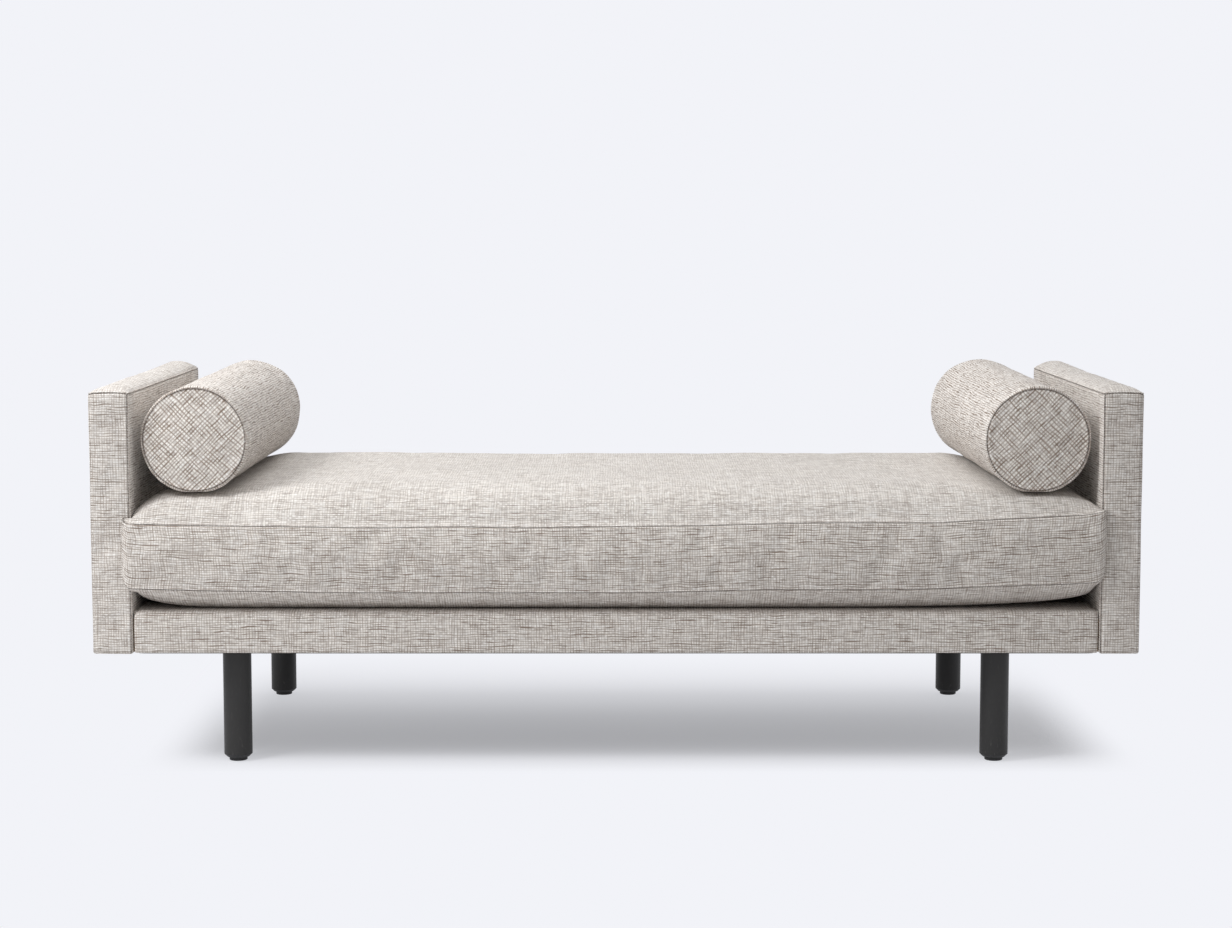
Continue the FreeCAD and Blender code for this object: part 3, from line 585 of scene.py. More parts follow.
def fibres(name, dark, light, scale, relief_size):
    """Pressed fibre or foam: felt and wadding."""
    g = Graph(name, Sheen_Weight=0.15, Specular_IOR_Level=0.15)
    x, y, z = g.place()
    hair = g.noise(x, y, z, scale, 5.0, 0.75)
    fleck = g.ease(0.6, 0.75, g.noise(x, y, z, scale * 0.3, 2.0))
    cloud = g.noise(x, y, z, 8.0, 2.0)
    colour = g.mix(g.ease(0.3, 0.7, hair), dark, light)
    colour = g.shade(colour, (0.86 + 0.28 * cloud) * (1.0 - 0.25 * fleck))
    return g.done(colour, 0.85 + 0.1 * hair, hair, relief_size)


# Copies of the one tweed. Their brightness factors are painted light and shade: the seat and arm tops are
# darker copies, and the bolster ends a lighter one.
TWEED = tweed("tweed", 0.65, 0.25)
TWEED_TOP_PAINTED_SHADE = tweed("tweed_top_painted_shade", 0.65, 0.25, 0.62, painted_light_level=0.87)
TWEED_CAP_PAINTED_SHADE = tweed("tweed_cap_painted_shade", 0.9, 0.4, 0.66, painted_light_level=0.885)
TWEED_ARM = tweed("tweed_arm", 0.9, 0.4, 0.76, painted_light_level=0.95)
TWEED_ROLL = tweed("tweed_roll", 1.0, 0.3, 0.95, streak=2.0, mottle=0.7, painted_light_level=0.975)
TWEED_END_PAINTED_LIGHT = tweed("tweed_end_painted_light", 1.0, 0.3, 0.95, 1.25, 1.015, streak=0.9)
FOAM = fibres("wadding", (0.66, 0.63, 0.55), (0.86, 0.84, 0.76), 260.0, 0.0012)
FELT = fibres("felt", (0.16, 0.155, 0.15), (0.36, 0.35, 0.34), 420.0, 0.0008)
TIMBER = [wood("timber_" + "xyz"[k], (0.60, 0.42, 0.235), (0.40, 0.24, 0.115), k) for k in range(3)]
LINING = cloth("lining", 3.1, 0.0012, (0.20, 0.185, 0.17), (0.42, 0.40, 0.37))
DUST = cloth("dust_cloth", 5.3, 0.0011, (0.012, 0.012, 0.012), (0.045, 0.045, 0.045))
TAPE = cloth("zip_tape", 2.7, 0.0008, (0.17, 0.145, 0.125), (0.36, 0.32, 0.28), 0.0002)
SOLIDS = {
    "hardboard": board("hardboard"),
    "leg_paint": painted("leg_paint"),
    "spring_steel": steel("spring_steel", (0.36, 0.36, 0.37), 0.30, 1.0),
    "zinc_steel": steel("zinc_steel", (0.66, 0.67, 0.68), 0.28, 0.2),
    "glide_plastic": plastic("glide_plastic"),
    "zip_metal": zip_metal("zip_metal"),
}


# Arms

EDGE_ROWS = [0, 0.7, 1.4, 2, 2.6, 3.4, 5, 7.5, 11]
ARM_CROWN = [(-1, 2), (-0.9, 8.5), (-0.5, 10), (0.2, 10.5), (0.62, 12.5), (0.88, 14.5), (1, 8)]
ARM_EDGE = 5.0
ARM_PRESSURE, ARM_CAP, ARM_SIDE_SHARE = 3.0, 2.2, 0.35
PANEL_SEAM = {"place": 2.0, "marks": [(0, -1.1, 0.7), (-2.2, 0.9, 1.5), (2.0, 0.4, 1.2)]}
TOP_SEAM = {"place": -2.0, "marks": [(0, -1.0, 0.7), (2.2, 0.8, 1.4), (5.0, -0.35, 0.8)]}


def box_edges(low, high, radius, p):
    """Points on a box's skin, moved onto its rounded edges."""
    core = np.clip(p, np.array(low) + radius, np.array(high) - radius)
    out = p - core
    return core + out * radius / lengths_of(out)


def all_round(sign):
    return [("i0", sign), ("i1", sign), ("j0", sign), ("j1", sign)]


def arm_block(us, vs, ws):
    block = Block(us, vs, ws)
    low, high = (-ARM_HALF, -ARM_DEPTH, ARM_LOW), (ARM_HALF, ARM_DEPTH, ARM_HIGH)
    p = box_edges(low, high, ARM_EDGE, block.params)
    x, y, z = block.params.T
    crown = curve(ARM_CROWN, y / ARM_DEPTH) * (1 - np.abs(x / ARM_HALF) ** 2.6)
    p[:, 2] += crown * ease(ARM_HIGH - 30, ARM_HIGH, z)
    return block, p


def arm_seams(stitched=False):
    """The panels' and the top's seams, or only those whose stitches show: the inner and the upper ones."""
    panel = [("i0", 1), ("j1", 1)] if stitched else all_round(1)
    front = dict(PANEL_SEAM, sides={"front": panel})
    rear = dict(PANEL_SEAM, sides={"rear": panel})
    for side in ("low_x",) if stitched else ("low_x", "high_x"):
        front["sides"][side] = [("i0", -1)]
        rear["sides"][side] = [("i1", -1)]
    for side in ("top",) if stitched else ("top", "under"):
        front["sides"][side] = [("j0", -1)]
        rear["sides"][side] = [("j1", -1)]
    outer = [("j1", -1)]
    top = dict(TOP_SEAM, sides={"top": [("i0", 1), ("i1", 1)], "low_x": outer, "high_x": outer})
    return [front, rear, top]


def build_arm(side_name, side):
    ranges = [(-ARM_HALF, ARM_HALF), (-ARM_DEPTH, ARM_DEPTH), (ARM_LOW, ARM_HIGH)]
    block, p = arm_block(*(spaced(a, b, EDGE_ROWS, step) for (a, b), step in zip(ranges, (6, 10, 9))))
    ends = [([0, 5, 12], 12), ([0, 5, 14], 18), ([0, 5, 14], 18)]
    coarse, q = arm_block(*(spaced(a, b, rows, step) for (a, b), (rows, step) in zip(ranges, ends)))
    inset = np.abs(coarse.params - [0, 0, (ARM_LOW + ARM_HIGH) / 2])
    reach = np.array([ARM_HALF, ARM_DEPTH, (ARM_HIGH - ARM_LOW) / 2]) - inset
    held = ((reach < 5.5).sum(1) >= 2) | (coarse.params[:, 2] <= ARM_LOW)
    moves = swell(q, coarse.quads(), held.astype(float), ARM_PRESSURE, ARM_CAP)
    moves[:, 0] *= ARM_SIDE_SHARE
    p += block.spread(coarse, moves)
    quads = block.quads()
    n = normals(p, quads)
    for seam in arm_seams():
        p += n * relief(seam_distance(block, p, seam), seam["marks"])[:, None]
    p += n * (0.5 * ripple(p, 150, 11 + side))[:, None]
    p[:, 0] = np.clip(p[:, 0], -ARM_HALF + 0.2, ARM_HALF + 2)
    shape = p.copy()
    if side < 0:
        shape[:, 0] *= -1
        quads = quads[:, ::-1]
    shape[:, 0] += side * ARM_MIDDLE
    layers = cloth_layers(block, p, arm_seams(True))
    if side < 0:
        layers = {key: value[:, ::-1] for key, value in layers.items()}
    piece = make(side_name + "_arm", shape, quads, layers, "frame", TWEED_ARM)
    # The arm's top takes the darker copy of the fabric: painted shade.
    face_top(piece, block, TWEED_CAP_PAINTED_SHADE)
    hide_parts(side_name + "_arm_cover", side_name + "_arm_padding")


# Seat cushion

EAR = [(0, 854.5), (0.4, 855.1), (0.8, 855.6), (1.4, 856.2), (2.2, 856.9), (3.2, 857.4), (4.4, 857.8),
       (5.8, 858), (7.7, 858), (9.9, 857.2), (11.5, 855), (12.4, 851), (12.8, 847), (13.3, 844.2),
       (15.5, 843.5), (30, 843.5)]
LEFT_EAR, RIGHT_EAR = 1.17, 0.62
SEAT_ROWS = [d for d, _ in EAR[:-1]] + [20, 27, 36, 48, 62, 78, 96]
SEAT_COLUMNS = [0, 0.6, 1.3, 2.2, 3.5, 5.5, 8, 11, 15, 20, 27, 36, 47]
BOXING_ROWS = [0, 0.8, 1.6, 2.6, 4, 6, 9, 13]
MIDDLE_CROWN = [(108, 481.6), (155, 483), (205, 487), (285, 491), (400, 491.6), (900, 491.8)]
LEFT_CROWN = [(0, 446), (2.2, 450), (5.5, 454.5), (8, 457), (13, 461.5), (25, 468.5), (60, 478.5)]
RIGHT_CROWN = [(0, 456), (2.2, 459), (5.5, 461.5), (8, 463.5), (13, 466.5), (25, 471.5), (60, 479)]
TOP_LINE = [(-860, 437), (-852, 433), (-843, 431), (-705, 427.3), (-566, 425.6), (-427, 423.8),
            (-288, 425.6), (-149, 423.8), (-10, 425.6), (128, 427.3), (267, 430.8), (406, 432.6),
            (545, 432.6), (614, 436.1), (684, 439.6), (753, 443.1), (822, 447.5), (843, 451.5), (860, 454)]
LOW_LINE = [(-861, 333), (-853, 322), (-845, 316.5), (-776, 315.2), (-706, 313.4), (-567, 311.7),
            (-498, 309.9), (-10, 309.9), (129, 311.7), (268, 315.2), (477, 315.2), (546, 316.9),
            (685, 322.2), (780, 325), (838, 329), (845, 335), (850, 343), (853, 352)]
LEFT_RISE = [(0.62, 40), (0.38, 3)]
RIGHT_RISE = [(0.42, 150), (0.12, 25), (0.15, 8), (0.31, 2.5)]
BACK_LOW, BACK_HIGH = 312.0, 428.0
UNDER_BOLSTER = 108
SEAT_PRESSURE, SEAT_CAP = 2.5, 4.0
ZIP_HALF, ZIP_FLOOR = 529.5, 383.2
ZIP_COLUMNS = [-531, -530, -529, 529, 530, 531]
ZIP_ROWS = (360.2, 361.2, 361.9, 373.1, 373.8, 374.8)
SEAT_MARKS = [(0, -1.5, 0.9), (3.0, 0.7, 1.6), (-3.0, 0.7, 1.6)]
BOXING_BULGE = 5.5
UNDER_LIFT = 330


def fading(shares, at):
    """A sum of shares, each dying away over its own length."""
    return sum(share * np.exp(-at / length) for share, length in shares)


def seat_block(us, vs, ws):
    """The cushion's grid and points; e and d are the distances from its end and from its front or rear."""
    block = Block(us, vs, ws)
    x, y, w = block.params.T
    side, face = np.sign(x), np.sign(y)
    e, d = SEAT_END - np.abs(x), SEAT_FRONT - np.abs(y)
    reach = (curve(EAR, d) - SEAT_END) * np.exp(-(e / 22) ** 2) * np.where(x < 0, LEFT_EAR, RIGHT_EAR)
    corner = 3.4 * np.clip(1 - e / 9, 0, 1) ** 2 * np.clip(1 - d / 4, 0, 1)
    px, py = x + side * reach, y - face * corner
    crown = np.where(x < 0, curve(LEFT_CROWN + MIDDLE_CROWN, e), curve(RIGHT_CROWN + MIDDLE_CROWN, e))
    crown += 4.5 * ease(-50, 250, y) * np.exp(-((e - 190) / 45) ** 2)
    blend = ease(560, 700, np.abs(px))
    behind = ease(-150, 150, y)
    top_line, low_line = curve(TOP_LINE, px), curve(LOW_LINE, px)
    top_line += behind * (BACK_HIGH + blend * (top_line - BACK_HIGH) - top_line)
    low_line += behind * (BACK_LOW + blend * (low_line - BACK_LOW) - low_line)
    top = crown - (crown - top_line) * (np.abs(y) / SEAT_FRONT) ** 14
    rise_y = np.minimum(np.clip(np.abs(y) - UNDER_LIFT, 0, None) / (SEAT_FRONT - UNDER_LIFT), 1) ** 1.15
    rise_x = np.where(x < 0, fading(LEFT_RISE, e), fading(RIGHT_RISE, e))
    low = DECK + (low_line - DECK) * (1 - (1 - rise_y) * (1 - rise_x))
    z = low + (top - low) * w
    bow = 1 - np.abs(2 * w - 1) ** 2.2
    on_front, on_rear = (d < 0.01) & (y < 0), (d < 0.01) & (y > 0)
    py -= np.where(on_front, BOXING_BULGE * bow * (0.35 + 0.65 * ease(0, 40, e)), 0)
    py += np.where(on_rear, bow ** 0.35 * 2.0, 0)
    px -= side * np.where(e < 0.01, 3.0 * np.abs(2 * w - 1) ** 4, 0)
    zipped = (np.abs(x) < ZIP_HALF) & (z > ZIP_ROWS[1] - 0.1) & (z < ZIP_ROWS[4] + 0.1)
    py = np.where(on_rear & zipped, ZIP_FLOOR, py)
    return block, np.stack([px, py, z], 1)


def build_seat():
    columns = merged(spaced(-SEAT_END, SEAT_END, SEAT_COLUMNS, 10.5), ZIP_COLUMNS)
    rows = spaced(-SEAT_FRONT, SEAT_FRONT, SEAT_ROWS, 15)
    span = BACK_HIGH - BACK_LOW
    boxing = merged(spaced(0, span, BOXING_ROWS, 7), [z - BACK_LOW for z in ZIP_ROWS]) / span
    block, p = seat_block(columns, rows, boxing)
    columns = spaced(-SEAT_END, SEAT_END, [0, 12, 27], 28)
    rows = spaced(-SEAT_FRONT, SEAT_FRONT, [0, 5.8, 14, 30], 28)
    coarse, q = seat_block(columns, rows, np.linspace(0, 1, 6))
    x, y, w = coarse.params.T
    e, d = SEAT_END - np.abs(x), SEAT_FRONT - np.abs(y)
    top_seam = (np.minimum(e, d) < 0.1) & (w > 0.99)
    fixed = top_seam | (w < 0.01) | (e < 0.1) | ((y > 0) & (d < 0.1))
    held = np.maximum(fixed * 1.0, 0.6 * np.exp(-((e - UNDER_BOLSTER) / 60) ** 2))
    moves = swell(q, coarse.quads(), held, SEAT_PRESSURE, SEAT_CAP)
    moves[:, 2] -= 1.5 * (w > 0.99)
    moves[held > 0.9] = 0
    p += block.spread(coarse, moves)
    quads = block.quads()
    n = normals(p, quads)
    seams = []
    for face, edge in (("top", "j1"), ("under", "j0")):
        edges = {face: all_round(1), **dict.fromkeys(("front", "rear", "low_x", "high_x"), [(edge, -1)])}
        seams.append({"place": 0.0, "marks": SEAT_MARKS, "sides": edges})
    for seam in seams:
        t = seam_distance(block, p, seam)
        pucker = 0.35 * np.exp(-np.abs(t) / 7) * ripple(p * [1, 1, 0.2], 13, 5)
        p += n * (relief(t, seam["marks"]) + pucker)[:, None]
    still = np.minimum(block.params[:, 2] * 8, 1)
    uneven = (1.1 * ripple(p, 230, 3) + 0.5 * ripple(p, 90, 4)) * still
    from_end = SEAT_END - np.abs(block.params[:, 0])
    uneven *= 1 - 0.8 * np.exp(-((from_end - UNDER_BOLSTER) / 55) ** 2)
    rear = block.params[:, 1] > SEAT_FRONT - 0.1
    p += n * np.where(rear, 0, uneven)[:, None]
    layers = cloth_layers(block, p, seams)
    piece = make("seat_cushion", p, quads, layers, "seat_cushion", TWEED)
    # The cushion's top takes the darker copy of the fabric: painted shade.
    face_top(piece, block, TWEED_TOP_PAINTED_SHADE)
    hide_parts("seat_cushion_cover", "seat_cushion_core")


# Bolsters: rings about an axis from front to rear, with the zip on the lower outer side

BOLSTER_X, BOLSTER_Z = 737.0, 572.7
BOLSTER_R = 92.4
BOLSTER_END = 345.5
BOLSTER_REST = -89.6
DISC_R, DISC_CROWN = 89.8, 6.6
END_RING = 88.5
END_WEAVE = 0.8
FRONT_GROWTH, REAR_GROWTH = 0.008, {-1: 0.05, 1: 0.062}
ZIP_ANGLE = math.radians(45)
ZIP_CHANNEL, CHANNEL_HALF, CHANNEL_END = 87.0, 6.8, 293
ZIP_LIPS = (-9, -7.6, -6.9, -6.1, 6.1, 6.9, 7.6, 9)
ROLL_PRESSURE, ROLL_CAP = 3.0, 2.0
ROLL_SHIFT, DISC_SHIFT = (5000, 700), (3000, 400)
DISC = [0, 10, 20, 30, 40, 50, 59, 67, 75, 80.5, 84, 86, 87.2, 88, END_RING, 89, DISC_R]
ROLL = [(91.0, 345.4), (92.1, 344.6), (92.9, 343.2), (93.2, 341.4), (93.1, 339)]
TUBE = [336, 331, 324, 315, 303, 293.6, 292.6, 280] + list(range(264, 0, -17))
RING_ROW = DISC.index(END_RING)
LAST_DISC = len(DISC) - 1


def zip_away(side, angle):
    """Distance round the bolster from the middle of its zip."""
    turned = np.asarray(angle) + math.pi / 2 - side * ZIP_ANGLE
    return np.abs((turned + math.pi) % (2 * math.pi) - math.pi) * BOLSTER_R


def bolster_points(side, profile, angles, zipped):
    """Rings of a bolster about its own axis, with its flat underside and its zip's channel."""
    r, y = np.array(profile).T
    angle = np.array(angles)
    ring_r = r[:, None] * np.ones_like(angle)[None, :]
    if zipped:
        in_run = (np.abs(y) < CHANNEL_END) & (r > DISC_R + 0.5)
        inside = (zip_away(side, angle) < CHANNEL_HALF)[None, :] & in_run[:, None]
        ring_r = np.where(inside, ZIP_CHANNEL, ring_r)
    x, z = ring_r * np.cos(angle), ring_r * np.sin(angle)
    z = np.where(z < BOLSTER_REST, BOLSTER_REST + (z - BOLSTER_REST) * 0.15, z)
    return np.stack([x, y[:, None] * np.ones_like(x), z], 2)


def outward(angles):
    return np.stack([np.cos(angles), np.zeros(len(angles)), np.sin(angles)], 1)


def ring_faces(rows, count):
    """Quads between rows of a ring-shaped grid, and fans to a middle point at both ends."""
    number = np.arange(rows * count).reshape(rows, count)
    after = np.roll(number, -1, 1)
    quads = np.stack([number[:-1], after[:-1], after[1:], number[1:]], 2).reshape(-1, 4)
    near = [[rows * count, b, a] for a, b in zip(number[0], after[0])]
    far = [[a, b, rows * count + 1] for a, b in zip(number[-1], after[-1])]
    return near + quads.tolist() + far


def bolster_swell(side, profile, ring):
    """The bolster's cloth moves, found on a coarser set of rings."""
    rings = len(profile)
    near = [1, 4, 7, 10, RING_ROW, LAST_DISC + 3]
    few = [*near, *range(LAST_DISC + 6, rings - LAST_DISC - 6, 2), *(rings - 1 - k for k in reversed(near))]
    angles = np.linspace(0, 2 * math.pi, 41)[:-1]
    q = bolster_points(side, [profile[k] for k in few], angles, False)
    rows, count = q.shape[:2]
    held = np.zeros((rows, count))
    held[[few.index(RING_ROW), few.index(rings - 1 - RING_ROW)]] = 1
    zip_held = np.exp(-(zip_away(side, angles) / 12) ** 2)[None, :]
    held = np.maximum(held, zip_held * (np.abs(q[:, :, 1]) < 310))
    held = np.maximum(held, (q[:, :, 2] < BOLSTER_REST + 2.6) * 1.0)
    flat = np.concatenate([q.reshape(-1, 3), [q[0].mean(0), q[-1].mean(0)]])
    moves = swell(flat, ring_faces(rows, count), np.append(held, [0, 0]), ROLL_PRESSURE, ROLL_CAP)
    grid = moves[:rows * count].reshape(rows, count, 3)
    grid = np.concatenate([grid, grid[:, :1]], 1)
    moves = regrid(grid, few, np.append(angles, 2 * math.pi), np.arange(rings), ring)
    out = outward(ring)
    inward = np.minimum((moves * out).sum(2), 0)
    return moves - out * inward[:, :, None]


def plumper(side, p):
    """Moves that fill the bolster out on its upper inner side, more towards the rear. Its zip stays put."""
    share = p[:, :, 1] / (2 * BOLSTER_END) + 0.5
    growth = FRONT_GROWTH + (REAR_GROWTH[side] - FRONT_GROWTH) * np.clip(share, 0, 1)
    zip_x, zip_z = side * BOLSTER_R * math.sin(ZIP_ANGLE), -BOLSTER_R * math.cos(ZIP_ANGLE)
    inward = np.clip(-side * (p[:, :, 0] - zip_x), 0, None) * growth
    upward = np.clip(p[:, :, 2] - zip_z, 0, None) * growth
    return np.stack([-side * inward, np.zeros_like(inward), upward], 2)


def build_bolster(side_name, side):
    ring = np.linspace(0, 2 * math.pi, 121)[:-1]
    middle = (-math.pi / 2 + side * ZIP_ANGLE) % (2 * math.pi)
    lips = [middle + k / BOLSTER_R for k in ZIP_LIPS]
    ring = np.array(sorted([a for a in ring if min(abs(a - b) for b in lips) > 0.012] + lips))
    front = [(r, -(BOLSTER_END + DISC_CROWN * (1 - (r / DISC_R) ** 2))) for r in DISC]
    front += [(r, -y) for r, y in ROLL] + [(BOLSTER_R, -y) for y in TUBE]
    profile = front + [(r, -y) for r, y in reversed(front)]
    p = bolster_points(side, profile, ring, True)
    rings, count = p.shape[:2]
    r, y = np.array(profile).T
    p = p + bolster_swell(side, profile, ring)
    p = p + plumper(side, p)
    out = outward(ring)
    t = np.where(r > DISC_R + 0.1, FAR, r - END_RING)
    p[:, :, 1] += (np.sign(y) * relief(t, [(0, -1.0, 0.9), (-2.6, 0.3, 1.4)]))[:, None]
    flat_p = p.reshape(-1, 3)
    uneven = 0.8 * ripple(flat_p, 120, 21 + side) + 0.3 * ripple(flat_p, 45, 31 + side)
    off_zip = 1 - np.exp(-(zip_away(side, ring) / 16) ** 2)
    on_tube = ease(84, 91, r)[:, None] * off_zip * ease(-89, -78, p[:, :, 2])
    seam_near = np.exp(-np.clip(344 - np.abs(y), 0, None) / 9) * (r > DISC_R + 0.5)
    pucker = 0.35 * ripple(flat_p * [1, 0.2, 1], 12, 41 + side)
    uneven, pucker = uneven.reshape(rings, count), pucker.reshape(rings, count)
    p = p + out * (uneven * on_tube + pucker * seam_near[:, None])[:, :, None]
    ends = np.array([p[0].mean(0), p[-1].mean(0)])
    points = np.concatenate([p[1:-1].reshape(-1, 3), ends]) + [side * BOLSTER_X, 0, BOLSTER_Z]
    rows = rings - 2
    arc = np.append(ring, ring[0] + 2 * math.pi)
    slant = math.cos(math.pi / 4)
    length = np.append(0, np.cumsum(np.hypot(np.diff(r), np.diff(y))))

    def on_cloth(k, j, disc):
        if not disc:
            return (y[k] + ROLL_SHIFT[0], arc[j] * BOLSTER_R + ROLL_SHIFT[1] * side)
        x, z = r[k] * math.cos(arc[j]) * END_WEAVE, r[k] * math.sin(arc[j]) * END_WEAVE
        return ((x + z) * slant + DISC_SHIFT[0] * (k > rings / 2), (z - x) * slant + DISC_SHIFT[1] * side)

    weave, seam, disc_faces = [], [], []
    for k in range(rows + 1):
        disc = k < LAST_DISC or k > rings - 2 - LAST_DISC
        for j in range(count):
            spots = [(k, j), (k, j + 1), (k + 1, j + 1), (k + 1, j)]
            if k == 0:
                spots = [(0, j), (1, j + 1), (1, j)]
            elif k == rows:
                spots = [(k, j), (k, j + 1), (k + 1, j)]
            disc_faces.append(disc)
            for a, b in spots:
                weave.append(on_cloth(a, b, disc))
                near = length[a] if a < rings / 2 else length[-1] - length[a]
                seam.append((arc[b] * END_RING, near - length[RING_ROW]))
    layers = {"weave": np.array(weave) * MM, "seam": np.array(seam) * MM}
    faces = ring_faces(rows, count)
    piece = make(side_name + "_bolster", points, faces, layers, side_name + "_bolster", TWEED_ROLL)
    # The end discs take a lighter copy of the fabric: painted light.
    piece.data.materials.append(TWEED_END_PAINTED_LIGHT)
    piece.data.polygons.foreach_set("material_index", np.array(disc_faces, np.int32))
    refine(piece)
    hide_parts(side_name + "_bolster_cover", side_name + "_bolster_core")


for side_name, side in SIDES:
    build_arm(side_name, side)
    build_bolster(side_name, side)
build_seat()


# Base: the padded cover over the front and rear rails

BASE_PATH = [(-340, 200.8), (-352, 200.8), (-362, 200.8), (-366, 201.2), (-368.6, 202.6), (-369.8, 205),
             (-370, 209), (-370.4, 218), (-370.9, 230), (-371, 242), (-370.7, 252), (-370.2, 259),
             (-369.6, 263.5), (-368.3, 267.5), (-366, 270.8), (-362.8, 273.2), (-358.5, 274.6)]
BASE_PATH += [(y, DECK) for y in (-353, -344, -330, -312, -292, -271, -250)]
BASE_ENDS = [0, 0.6, 1.4, 2.4, 3.6, 5, 8, 13, 20]
RAIL_FACE = 360.5
RAIL_LOW, RAIL_HIGH = 202.3, 273.8


def base_block(us, path):
    outer = np.array(path, float)
    inner = np.stack([np.maximum(outer[:, 0], -RAIL_FACE), np.clip(outer[:, 1], RAIL_LOW, RAIL_HIGH)], 1)
    block = Block(us, range(len(path)), [0, 1])
    x, v, w = block.params.T
    v = v.astype(int)
    yz = inner[v] + (outer[v] - inner[v]) * w[:, None]
    e = SEAT_END - np.abs(x)
    tuck = 7.5 * (1 - np.sqrt(1 - np.clip(1 - e / 8, 0, 1) ** 2)) * w
    y = yz[:, 0] + np.where(yz[:, 0] < -RAIL_FACE, tuck, 0)
    z = yz[:, 1] - np.where(yz[:, 1] > 268, 0.6 * tuck, 0)
    return block, np.stack([x, y, z], 1)


def build_base(side_name, face):
    block, p = base_block(spaced(-SEAT_END, SEAT_END, BASE_ENDS, 14), BASE_PATH)
    quads = block.quads()
    n = normals(p, quads)
    showing = ease(-365, -369.5, p[:, 1]) * ease(203, 225, p[:, 2]) * ease(274, 262, p[:, 2])
    uneven = 0.7 * ripple(p, 190, 51 + face) + 0.35 * ripple(p, 60, 53 + face)
    p += n * (uneven * block.params[:, 2] * showing)[:, None]
    layers = cloth_layers(block, p)
    if face > 0:
        p = p * [-1, -1, 1]
    piece = make(side_name + "_base", p, quads, layers, "frame", TWEED)
    return piece


front_base, rear_base = build_base("front", -1), build_base("rear", 1)
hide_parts("base_cover", "rail_padding")


# Sheets and pads inside the base, and the dust cover under it

def mm_box(node):
    low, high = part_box(node)
    return np.array(low) / MM, np.array(high) / MM


def slab(name, node, material, cell, wave):
    """A flat layer in the space of its CAD node, with soft edges and a slightly uneven face."""
    low, high = mm_box(node)
    thick = high[2] - low[2]
    radius = min(thick * 0.45, 4.0)
    ends = [0, radius * 0.3, radius * 0.6, radius, radius * 2]
    ws = [low[2], low[2] + radius * 0.5, low[2] + radius, high[2] - radius, high[2] - radius * 0.5, high[2]]
    block = Block(spaced(low[0], high[0], ends, cell), spaced(low[1], high[1], ends, cell), sorted(set(ws)))
    p = box_edges(low, high, radius, block.params)
    inner = np.minimum(ease(0, 30, p[:, 0] - low[0]), ease(0, 30, high[0] - p[:, 0]))
    upper = block.params[:, 2] > (low[2] + high[2]) / 2
    p[:, 2] -= wave * (0.5 + 0.5 * ripple(p * [1, 1, 0], 120, 71)) * inner * upper
    layers = cloth_layers(block, p)
    piece = make(name, p, block.quads(), layers, "frame", material)
    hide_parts(node)
    return piece, low, high


pad, _, _ = slab("deck_pad_wadding", "deck_pad", FOAM, 24, 0.8)
for name, node, slot, material, held in (
        ("insulator_felt", "spring_insulator", "felt", FELT, "laid"),
        ("deck_lining", "deck_cloth", "lining", LINING, "stretched")):
    piece, low, high = slab(name, node, material, 24, 0.3)

LEG_X, LEG_Y, LEG_HOLE = 672.0, 310.0, 26.0
CORNERS = [(sx, sy) for sx in (-1, 1) for sy in (-1, 1)]


def build_dust_cover():
    """Cloth stapled under the frame, with a hole round each leg."""
    low, high = mm_box("dust_cover")
    cell, patch, rings, rim = 20.0, 40.0, 5, 16
    xs = np.arange(-LEG_X - patch - cell * 6, LEG_X + patch + cell * 6 + 1, cell)
    xs = np.concatenate([[low[0]], xs[(xs > low[0] + 8) & (xs < high[0] - 8)], [high[0]]])
    xs = np.unique(np.round(np.concatenate([xs[xs < -1], -xs[xs < -1], [0]]), 3))
    steps = np.arange(-LEG_Y - patch, 0, cell)
    ys = np.unique(np.round(np.concatenate([[low[1]], steps, -steps, [0, high[1]]]), 3))
    points, faces, known = [], [], {}

    def point(x, y):
        key = (round(x, 2), round(y, 2))
        if key not in known:
            known[key] = len(points)
            points.append((x, y))
        return known[key]

    for i in range(len(xs) - 1):
        for j in range(len(ys) - 1):
            mx, my = (xs[i] + xs[i + 1]) / 2, (ys[j] + ys[j + 1]) / 2
            if abs(abs(mx) - LEG_X) < patch and abs(abs(my) - LEG_Y) < patch:
                continue
            spots = ((i, j), (i, j + 1), (i + 1, j + 1), (i + 1, j))
            faces.append([point(xs[a], ys[b]) for a, b in spots])
    around = []
    for k in range(rim):
        along = (k % 4) * cell - patch
        around.append([(along, -patch), (patch, along), (-along, patch), (-patch, -along)][k // 4])
    for sx, sy in CORNERS:
        for k in range(rim):
            spots = []
            for m in range(rings + 1):
                row = []
                for qx, qy in (around[k], around[(k + 1) % rim]):
                    size = math.hypot(qx, qy)
                    cx, cy = qx / size * LEG_HOLE, qy / size * LEG_HOLE
                    x, y = qx + (cx - qx) * (m / rings), qy + (cy - qy) * (m / rings)
                    row.append(point(sx * LEG_X + x, sy * LEG_Y + y))
                spots.append(row)
            for (a, b), (c, d) in zip(spots, spots[1:]):
                faces.append([b, d, c, a])
    flat = np.array(points)
    p = np.concatenate([flat, np.full((len(flat), 1), low[2])], 1)
    edge = np.minimum(high[0] - np.abs(p[:, 0]), high[1] - np.abs(p[:, 1]))
    near_leg = np.min([np.hypot(p[:, 0] - sx * LEG_X, p[:, 1] - sy * LEG_Y) for sx, sy in CORNERS], 0)
    free = ease(4, 120, edge) * ease(30, 90, near_leg)
    p[:, 2] += 0.3 - free * (1.6 + 0.9 * ripple(p, 260, 81))
    place = np.array([[points[i] for i in f] for f in faces]) * MM
    layers = {"weave": place, "seam": np.ones_like(place)}
    piece = make("dust_cloth", p, faces, layers, "frame", DUST)
    thick = piece.modifiers.new("thick", "SOLIDIFY")
    thick.thickness = 0.0005
    thick.offset = 1.0
    refine(piece)
    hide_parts("dust_cover")


build_dust_cover()


# Zips: woven tape with a closed coil

